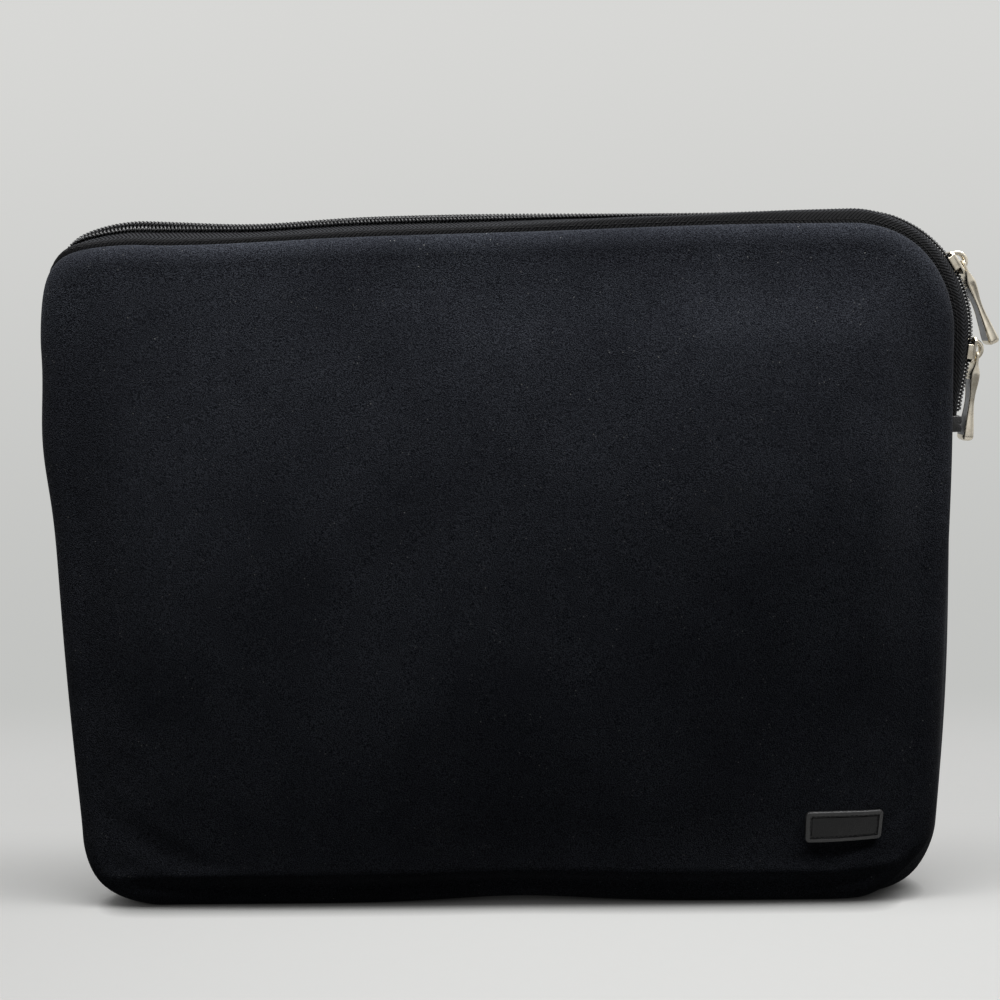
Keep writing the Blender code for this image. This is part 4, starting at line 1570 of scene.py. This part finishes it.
@dataclass
class ZipCoil(HalfPart):
    """One row of the zip: a single nylon wire wound into flattened loops."""

    pitch: float = 0.00154
    wire: float = 0.00046
    head_swell: float = 0.00005
    steps_per_loop: int = 12
    sides: int = 6

    def build(self, nylon: Material) -> Object:
        """Make the row.

        Args:
            nylon: Its finish.

        Returns:
            The row's object.
        """
        form, full = self.form, 2 * math.pi
        loops = int(2 * (form.chain_end - self.pitch) / self.pitch)
        turn = np.linspace(0.0, full * loops, loops * self.steps_per_loop + 1)
        start = -loops * self.pitch / 2 + self.pick(0.0, self.pitch / 2)
        run = start + turn / full * self.pitch
        track = form.chain(run)
        middle = form.row_offset(run) + form.coil_width / 2
        across = middle - (form.coil_width / 2 - self.wire) * np.cos(turn)
        out = track.height + (form.coil_thickness / 2 - self.wire) * np.sin(turn)
        lines = []
        for line_across, line_out in ((across, out), (middle, track.height)):
            rolled = form.roll(run, self.side, line_across, line_out, track.height)
            lines.append(track.spot(self.side.value * rolled[:, 0], rolled[:, 1]))
        path, centre = lines
        radius = self.wire + self.head_swell * np.maximum(np.cos(turn), 0.0) ** 2
        wire = tube(path, path - centre, radius, self.sides)
        nodes = self.pick(("front_coil_mouth", "front_coil_side"), ("back_coil",))
        return self.hang(f"{self.half}_zip_coil", wire, (nylon,), Slot.COIL, nodes)


@dataclass
class Binding(HalfPart):
    """Ribbon folded over the raw seam edge inside, once round a panel."""

    steps: int = 460
    width: float = 0.0068
    ply: float = 0.00028
    ply_gap: float = 0.00042
    inset: float = 0.0040
    tape_step: float = 0.0010

    def build(self, ribbon: Material) -> Object:
        """Make the ribbon, one ply on each side of the seam edge.

        Args:
            ribbon: Its finish.

        Returns:
            The ribbon's object.
        """
        form = self.form
        track = form.rim(np.linspace(0.0, 1.0, self.steps + 1))
        on_tape = ease(track.z, form.gusset_high.z, form.tab_high.z)
        seat = form.inner - form.seat - self.tape_step * on_tape
        near, far = self.ply / 2, self.ply / 2 + self.ply_gap
        plies = np.array((((near, 0.0), (near, self.width), (far, self.width), (far, 0.0)),))
        around = ribbon_loop(soften(plies), self.ply)[0]
        across = self.side.value * (seat[:, None] - around[:, 0])
        loops = np.stack((across, np.broadcast_to(-self.inset - around[:, 1], across.shape)), axis=2)
        length = float(track.walk()[-1])
        bm = loft(track, loops, (length, 4 * self.width))
        name = self.pick("front_binding", "back_binding_ribbon")
        nodes = self.pick(("front_binding_mouth", "front_binding_pocket"), ("back_binding",))
        item = self.hang(name, bm, (ribbon,), Slot.BINDING, nodes)
        return item


@dataclass
class SeamThread(HalfPart):
    """A line of lock stitches that sews a tape to its panel."""

    stitch: float = 0.0026
    gap: float = 0.0009
    radius: float = 0.00017
    rise: float = 0.0013

    def build(self, thread: Material) -> Object:
        """Make the stitches.

        Args:
            thread: Their finish.

        Returns:
            The stitches' object.
        """
        tape = ZipTape(self.form, self.drape, self.side)
        pitch = self.stitch + self.gap
        count = int(2 * self.form.chain_end / pitch) - 2
        above = tape.hem + tape.rim_rise + self.rise
        bm = bmesh.new()
        for number in range(count):
            run = np.array([-0.5, 0.5]) * self.stitch + (number + 0.5 - count / 2) * pitch
            track = self.form.chain(run)
            line = tape.line(run, track.height)[:, ::-1]
            length = np.sum(np.linalg.norm(np.diff(line[0], axis=0), axis=1))
            walk = np.linspace(0.0, 1.0, line.shape[1]) * length
            across, out = np.array([[np.interp(above, walk, part) for part in row.T] for row in line]).T
            across = self.side.value * (across + tape.thickness / 2 + self.radius / 2)
            first, last = (Vector(point) for point in track.spot(across, out))
            add_stitch(bm, first, last, self.radius)
        return self.hang(f"{self.half}_seam_thread", bm, (thread,), Slot.TAPE, ())


@dataclass
class ZipSlider:
    """A cast slider: two plates on a post, flanges round the chain, and a crown loop on top."""

    form: SleeveForm
    length: float = 0.0106
    half_width: float = 0.0052
    plate: float = 0.0012
    corner: float = 0.0014
    taper: float = 0.0004
    flange: float = 0.00115
    roof: float = 0.0013
    floor: float = -0.0026
    flange_foot: float = -0.0009
    post_width: float = 0.0019
    post_length: float = 0.0034
    crown_radius: float = 0.0048
    crown_bar: float = 0.0019
    crown_width: float = 0.0030
    edge: float = 0.00030
    voxel: float = 0.00011
    crown_turn: float = 0.56 * math.pi
    crown_squareness: float = 0.6
    polish_rounds: int = 5
    lower_drop: float = 0.0012

    def plate_outline(self, level: float) -> list[Triple]:
        """A plate's outline, full at its head and a little narrower at its tail."""
        half, tail, cut = self.length / 2, self.half_width - self.taper, self.corner
        right = [(self.half_width - cut, half), (self.half_width, half - cut)]
        right += [(tail, cut - half), (tail - cut, -half)]
        left = [(-across, along) for across, along in right[::-1]]
        return [(level, across, along) for across, along in right + left]

    def crown(self) -> BMesh:
        """The arch that carries the pull, from the plate's head to its tail."""
        radius = self.crown_radius - self.crown_bar / 2
        top = self.roof + self.plate
        steps, sides = 32, 16
        turn = np.linspace(-self.crown_turn, self.crown_turn, steps + 1)

        def skin(u: Array, v: Array) -> Array:
            """Place the arch's flattened round bar."""
            angle, around = turn[numbers(u, steps)], round_angle(v, sides)
            reach = radius + self.crown_bar / 2 * squared(np.cos(around), self.crown_squareness)
            across = self.crown_width / 2 * squared(np.sin(around), self.crown_squareness)
            return np.stack((top + reach * np.cos(angle), across, reach * np.sin(angle)), axis=1)

        return close_tube(grid_sheet(steps, sides, skin))

    def mesh(self) -> Mesh:
        """The slider with its head up, standing on the chain's middle line, outside towards +X."""
        half, sink = self.length / 2, self.plate / 2
        shapes = []
        for level in (self.roof, self.floor - self.plate):
            shapes.append(slab(self.plate_outline(level), (self.plate, 0.0, 0.0), self.edge))
        outer = self.half_width - self.taper
        head = half - self.corner - self.post_length / 2
        for sign in (-1, 1):
            inner_y, outer_y = sorted((sign * (outer - self.flange + self.taper), sign * outer))
            low = (self.flange_foot, inner_y, self.corner - half)
            shapes.append(block(low, (self.roof + sink, outer_y, head), self.edge))
        post_top = half - self.corner / 2
        low = (self.floor - sink, -self.post_width / 2, post_top - self.post_length)
        shapes.append(block(low, (self.roof + sink, self.post_width / 2, post_top), self.edge))
        shapes.append(self.crown())
        return cast(shapes, voxel=self.voxel, rounds=self.polish_rounds)

    def build(self, metal: Material) -> list[Object]:
        """Make both sliders, the upper one with its head down.

        Args:
            metal: Their finish.

        Returns:
            The sliders' objects.
        """
        form = self.form
        corner = Matrix.Translation((form.corner_x, 0.0, form.corner_z))
        upper = corner @ Matrix.Rotation(form.upper_angle - QUARTER, 4, "Y")
        upper = upper @ Matrix.Translation((form.chain_radius, 0.0, 0.0))
        upper = upper @ Matrix.Rotation(math.pi, 4, "X")
        park = form.chain(np.array([form.corner_x + form.turn_length + self.lower_drop]))
        lower = Matrix.Translation(park.spot(0.0, park.height)[0])
        lower = lower @ Matrix.Rotation(form.slant, 4, "Y")
        built = []
        for body, placed in ((Body.UPPER_SLIDER, upper), (Body.LOWER_SLIDER, lower)):
            mesh = self.mesh()
            mesh.transform(placed)
            nodes = (f"{body.value}_body",)
            piece = Piece(f"{body.value}_casting", mesh, (metal,), Slot.NICKEL, nodes)
            built.append(piece.ride(body))
        return built


@dataclass
class ZipPull:
    """A bone-shaped pull: swollen below its eye, slim at the waist, flared at its tip, inlaid."""

    form: SleeveForm
    length: float = 0.0370
    eye_bar: float = 0.0006
    eye_hole: float = 0.0036
    hole_half: float = 0.0016
    upper_lean: float = math.radians(9.5)
    lower_lean: float = math.radians(4.0)
    steps: int = 120
    sides: int = 64
    squareness: float = 0.30
    channel: float = 0.00040
    inlay_depth: float = 0.00014
    inlay_rim: float = 0.00085
    inlay_start: float = 0.30
    inlay_end: float = 0.930
    tip_start: float = 0.945
    tip_flat: float = 0.30
    channel_fade: float = 0.08
    channel_spread: float = 0.35
    hole_reach: float = 0.004
    face_slope: float = 0.6
    widths: Knots = (
        (-0.017, 0.0052), (0.020, 0.0064), (0.130, 0.0064),
        (0.270, 0.0068), (0.540, 0.0056), (1.000, 0.0082),
    )
    thicknesses: Knots = (
        (-0.017, 0.0009), (0.020, 0.0013), (0.100, 0.0013),
        (0.250, 0.0038), (0.520, 0.0022), (1.000, 0.0044),
    )

    def mesh(self) -> Mesh:
        """The pull hanging down from its eye, with its wide faces towards X."""
        first, last = self.widths[0][0], self.widths[-1][0]

        def skin(u: Array, v: Array) -> Array:
            """Place the pull's skin: squarish, channelled at its edges, sunk where it is inlaid."""
            share = first + u * (last - first)
            past = np.clip((share - self.tip_start) / (last - self.tip_start), 0.0, 1.0)
            rounded = self.tip_flat + (1 - self.tip_flat) * np.sqrt(1 - past * past)
            width = glide(share, self.widths) * rounded
            thick = glide(share, self.thicknesses) * rounded
            angle = round_angle(v, self.sides)
            across = squared(np.sin(angle), self.squareness)
            deep = squared(np.cos(angle), self.squareness)
            bare = ease(share, self.inlay_start - self.channel_fade, self.inlay_start)
            groove = self.channel * bare * hill(deep, 0.0, self.channel_spread) * np.sign(across)
            sunk = self.inlay_depth * self.inlaid(share, across * width / 2, width) * np.sign(deep)
            places = (deep * thick / 2 - sunk, across * width / 2 - groove, -share * self.length)
            return np.stack(places, axis=1)

        body = close_tube(grid_sheet(self.steps, self.sides, skin))
        low = (-self.hole_reach, -self.hole_half, -self.eye_bar - self.eye_hole)
        hole = block(low, (self.hole_reach, self.hole_half, -self.eye_bar))
        mesh = cast((body,), (hole,))
        for face in mesh.polygons:
            share = np.array([-face.center.z / self.length])
            inside = self.inlaid(share, np.array([face.center.y]), glide(share, self.widths))
            face.material_index = int(inside[0] > 0.5 and abs(face.normal.x) > self.face_slope)
        return mesh

    def inlaid(self, share: Array, across: Array, width: Array) -> Array:
        """Where the wide faces are inlaid.

        Args:
            share: Places along the pull.
            across: Distances from its middle line.
            width: The pull's full width at each place.

        Returns:
            1 on the inlay, 0 off it.
        """
        long = (share > self.inlay_start) & (share < self.inlay_end)
        return (long & (np.abs(across) < width / 2 - self.inlay_rim)).astype(float)

    def build(self, metal: Material, inlay: Material) -> list[Object]:
        """Make both pulls on their joints.

        Args:
            metal: Their finish.
            inlay: The finish of their wide faces.

        Returns:
            The pulls' objects.
        """
        turns = {
            Body.UPPER_PULL: self.form.upper_angle - QUARTER + self.upper_lean,
            Body.LOWER_PULL: self.lower_lean,
        }
        built = []
        for body, turn in turns.items():
            mesh = self.mesh()
            joint = Matrix.Translation(self.form.pull_joints[body])
            mesh.transform(joint @ Matrix.Rotation(turn, 4, "Y"))
            node = body.value.replace("pull", "slider_pull")
            piece = Piece(f"{body.value}_tag", mesh, (metal, inlay), Slot.NICKEL, (node,))
            built.append(piece.ride(body))
        return built


@dataclass
class EndTab:
    """A leatherette tab folded over an end of the zip, with two ribs pressed into it."""

    form: SleeveForm
    drape: Drape
    ribs: int = 2
    stand_out: float = 0.0042
    rib_depth: float = 0.0008
    rib_span: tuple[float, float] = (0.1, 0.9)
    depth: float = 0.0008
    edge: float = 0.0005
    left_sink: float = 0.0046

    def build(self, leatherette: Material) -> list[Object]:
        """Make the tabs at both ends, the left one tucked in as its zip end is.

        Args:
            leatherette: Their finish.

        Returns:
            The tabs' objects.
        """
        form = self.form
        low, high, half = form.tab_low.z, form.tab_high.z, form.inner - form.seat
        rise = (high - low) / self.ribs
        groove = self.stand_out - self.rib_depth
        built = []
        for name, sign, sink in (("left", -1, self.left_sink), ("right", 1, 0.0)):
            profile = [(-self.depth, 0.0), (groove, 0.0)]
            for rib in range(self.ribs):
                for turn in np.linspace(*self.rib_span, 7) * math.pi:
                    out = groove + self.rib_depth * math.sin(turn)
                    profile.append((out, rib + (1 - math.cos(turn)) / 2))
                profile.append((groove, rib + 1.0))
            profile.append((-self.depth, float(self.ribs)))
            reach = form.half_width - sink
            points = [(sign * (reach + out), -half, low + rise * up) for out, up in profile]
            mesh = settle(slab(points, (0.0, 2 * half, 0.0), self.edge), self.drape)
            piece = Piece(f"{name}_tab", mesh, (leatherette,), Slot.TAB, (f"{name}_end_tab",))
            built.append(piece.ride(Body.SLEEVE))
        return built


@dataclass
class LabelPatch:
    """A bare leatherette patch with a turned border, sewn down in a groove."""

    form: SleeveForm
    drape: Drape
    thickness: float = 0.0013
    corner: float = 0.0021
    border: float = 0.0018
    groove: float = 0.0011
    groove_depth: float = 0.00070
    groove_flank: float = 0.15
    field_drop: float = 0.00018
    edge: float = 0.00075
    back_inset: float = 0.0004
    columns: int = 92
    rows: int = 44
    stitch: float = 0.0015
    gap: float = 0.0006
    thread: float = 0.00021

    def build(self, leatherette: Material, field: Material, thread: Material) -> list[Object]:
        """Make the patch and its stitches.

        Args:
            leatherette: The finish of the border and the back.
            field: The finish of the field inside the groove.
            thread: The stitches' finish.

        Returns:
            Both objects.
        """
        low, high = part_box("label_patch")
        middle, half = (low.x + high.x) / 2, (high.x - low.x) / 2
        outline = Outline(middle, half, low.z, high.z, self.corner, self.corner)
        foot, round_off = -self.form.outer - self.form.seat, self.edge
        face = foot - self.thickness
        profile = [(0.0, foot), (0.0, face + round_off)]
        for turn in np.linspace(0.0, QUARTER, 5)[1:]:
            depth = face + round_off * (1 - math.sin(turn))
            profile.append((round_off * (1 - math.cos(turn)), depth))
        flank, bed = self.groove_flank, self.groove_depth
        for inset, drop in ((0.0, 0.0), (flank, bed), (1 - flank, bed), (1.0, self.field_drop)):
            profile.append((self.border + self.groove * inset, face + drop))
        bm = ring_slab(outline, profile, (self.back_inset, foot), self.columns, self.rows)
        inset = Vector((self.border + self.groove, 0.0, self.border + self.groove))
        for item in bm.faces:
            spot = item.calc_center_median()
            across, along = spot - low - inset, high - inset - spot
            if item.material_index == 0 and min(across.x, across.z, along.x, along.z) > 0:
                item.material_index = 2
        finish = (leatherette, leatherette, field)
        patch = Piece("label_leatherette", settle(bm, self.drape), finish, Slot.LABEL, ("label_patch",))
        patch.ride(Body.SLEEVE)
        stitches = Piece("label_thread", self.stitches(outline, face), (thread,), Slot.LABEL, ())
        return [patch.item, stitches.ride(Body.SLEEVE)]

    def stitches(self, outline: Outline, face: float) -> Mesh:
        """Stitches along the middle of the groove.

        Args:
            outline: The patch's outline.
            face: The Y of the patch's face.

        Returns:
            The stitches' mesh.
        """
        inset = self.border + self.groove / 2
        depth = face + self.groove_depth - self.thread
        bm = bmesh.new()
        for edge in Edge:
            ends = outline.edge(edge, np.linspace(0.0, 1.0, 60), inset)
            walk = ends.walk()
            count = round(walk[-1] / (self.stitch + self.gap))
            pitch = walk[-1] / count
            for number in range(count):
                middle = (number + 0.5) * pitch
                span = np.array((middle - self.stitch / 2, middle + self.stitch / 2))
                places = zip(np.interp(span, walk, ends.x), np.interp(span, walk, ends.z))
                first, last = (Vector((x, depth, z)) for x, z in places)
                add_stitch(bm, first, last, self.thread)
        return settle(bm, self.drape)


@dataclass
class Studio:
    """Pale seamless paper, soft light from above and a camera at the photograph's angle."""

    camera_place: Triple = (0.0105, -0.450, 0.2570)
    yaw: float = math.radians(-1.37)
    pitch: float = math.radians(9.33)
    roll: float = math.radians(-1.20)
    sensor: float = 36.0
    focal_share: float = 1.051
    nearest: float = 0.01
    paper_half: float = 5.0
    paper_front: float = -4.0
    paper_back: float = 4.0
    cove_start: float = 0.085
    cove_radius: float = 0.050
    wall_top: float = 1.2
    key_place: Triple = (0.11, -0.095, 0.63)
    key_aim: Triple = (0.11, -0.080, 0.0)
    key_size: tuple[float, float] = (1.10, 0.16)
    key_power: float = 7.0
    room_tint: tuple[float, ...] = (1.0, 1.0, 0.99, 1.0)
    room_fill: float = 0.02
    room_rise: tuple[float, ...] = (-0.5, 0.9, 0.22, 1.30)
    room_sides: tuple[float, ...] = (-0.4, 0.6, 0.40, 1.35)

    def camera(self) -> Object:
        """Set the camera by its yaw, pitch and roll."""
        flat, sink = math.cos(self.pitch), math.sin(self.pitch)
        forward = Vector((math.sin(self.yaw) * flat, math.cos(self.yaw) * flat, -sink))
        level = Vector((math.cos(self.yaw), -math.sin(self.yaw), 0.0))
        upright = level.cross(forward)
        right = level * math.cos(self.roll) + upright * math.sin(self.roll)
        up = upright * math.cos(self.roll) - level * math.sin(self.roll)
        lens = bpy.data.cameras.new("camera")
        lens.sensor_width = self.sensor
        lens.lens = self.sensor * self.focal_share
        lens.clip_start = self.nearest
        item = stand("camera", lens)
        turned = Matrix((right, up, -forward)).transposed().to_4x4()
        item.matrix_world = Matrix.Translation(self.camera_place) @ turned
        bpy.context.scene.camera = item
        return item

    def paper(self, finish: PaperFinish) -> Object:
        """Lay the floor, sweep it up into the wall and carry the floor on behind.

        Args:
            finish: The paper's finish.

        Returns:
            The paper's object.
        """
        bend = [(self.paper_front, 0.0), (self.cove_start, 0.0)]
        for turn in np.linspace(0.0, QUARTER, 17)[1:]:
            back = self.cove_start + self.cove_radius * math.sin(turn)
            bend.append((back, self.cove_radius * (1 - math.cos(turn))))
        bend.append((self.cove_start + self.cove_radius, self.wall_top))
        line = np.array(bend)

        def sweep(u: Array, v: Array) -> Array:
            """Place the paper."""
            at = line[numbers(v, len(line) - 1)]
            return np.stack(((u * 2 - 1) * self.paper_half, at[:, 0], at[:, 1]), axis=1)

        bm = grid_sheet(8, len(line) - 1, sweep)
        middle = Matrix.Translation((0.0, (self.cove_start + self.paper_back) / 2, 0.0))
        spread = Matrix.Diagonal((2 * self.paper_half, self.paper_back - self.cove_start, 1.0, 1.0))
        bmesh.ops.create_grid(bm, x_segments=1, y_segments=1, size=0.5, matrix=middle @ spread)
        mesh = meshed(bm, "studio_paper")
        mesh.shade_smooth()
        mesh.materials.append(finish.material())
        item = stand("studio_paper", mesh)
        return item

    def light(self) -> None:
        """Hang one large soft lamp overhead, and let the room look brighter than it lights."""
        lamp = bpy.data.lights.new("overhead", "AREA")
        lamp.shape = "RECTANGLE"
        lamp.size, lamp.size_y = self.key_size
        lamp.energy = self.key_power
        item = stand("overhead", lamp)
        item.location = self.key_place
        down = Vector(self.key_aim) - Vector(self.key_place)
        item.rotation_euler = down.to_track_quat("-Z", "Y").to_euler()
        bench = NodeBench("room", world=True)
        bpy.context.scene.world = bench.owner
        bench.feed(bench.shader, {"Color": self.room_tint, "Strength": self.room_fill})
        aim = bench.split(bench.place("Generated"))
        shades = []
        for axis, span in (("Z", self.room_rise), ("X", self.room_sides)):
            inputs = dict(zip(("From Min", "From Max", "To Min", "To Max"), span))
            shades.append(bench.add("ShaderNodeMapRange", {"Value": aim[axis], **inputs}).outputs["Result"])
        glare = {"Color": self.room_tint, "Strength": bench.times(*shades)}
        path = bench.add("ShaderNodeLightPath").outputs
        seen = bench.sum("MAXIMUM", path["Is Camera Ray"], path["Is Glossy Ray"])
        mixed = bench.mix(seen, bench.shader, bench.add("ShaderNodeBackground", glare))
        bench.feed(bench.output, {"Surface": mixed.outputs[0]})

    def build(self) -> None:
        """Set the stage."""
        bpy.context.scene.view_settings.view_transform = "Standard"
        self.camera()
        self.paper(PaperFinish())
        self.light()


def main() -> None:
    """Build the studio and every piece of the sleeve."""
    logging.basicConfig(level=logging.INFO, format="%(name)s: %(message)s")
    Studio().build()
    form = SleeveForm()
    drape = Drape(form, JerseyPuff(form))
    jersey, lining = JerseyFinish().material(), LiningFinish().material()
    weave, ribbon = TapeFinish().material(), RibbonFinish().material()
    coil = PlasticFinish("coil_nylon", (0.006, 0.006, 0.007), (0.016, 0.016, 0.017), 0.27, 1800.0)
    seam = PlasticFinish("seam_thread", (0.003, 0.003, 0.0035), (0.010, 0.010, 0.011), 0.70, 3600.0)
    sewing = PlasticFinish("sewing_thread", (0.010, 0.010, 0.011), (0.034, 0.034, 0.037), 0.60, 3600.0)
    inlay = NickelFinish("pull_inlay", (0.250, 0.255, 0.265), (0.200, 0.202, 0.208), 0.36)
    gloss = LeatheretteFinish("tab_leatherette", (0.010, 0.010, 0.011), (0.030, 0.030, 0.032), 0.26)
    border = LeatheretteFinish("label_border", (0.007, 0.007, 0.0075), (0.024, 0.024, 0.025), 0.30)
    middle = LeatheretteFinish("label_field", (0.006, 0.006, 0.0065), (0.017, 0.017, 0.018), 0.36, 0.24)
    # Painted light: the gusset's jersey is paler than the panels' to stand in for bounce light from the
    # floor.
    strip = JerseyFinish("gusset_jersey_painted_bounce_light", (0.014, 0.015, 0.019), (0.110, 0.116, 0.128), painted_foot_shade=0.0)
    nylon, thread, nickel = coil.material(), seam.material(), NickelFinish().material()
    for side in Side:
        Cover(form, drape, side).build(jersey, lining)
        ZipTape(form, drape, side).build(weave)
        ZipCoil(form, drape, side).build(nylon)
        Binding(form, drape, side).build(ribbon)
        SeamThread(form, drape, side).build(thread)
    Gusset(form, drape).build(strip.material())
    EndTab(form, drape).build(gloss.material())
    LabelPatch(form, drape).build(border.material(), middle.material(), sewing.material())
    ZipSlider(form).build(nickel)
    ZipPull(form).build(nickel, inlay.material())


if __name__ == "__main__":
    main()
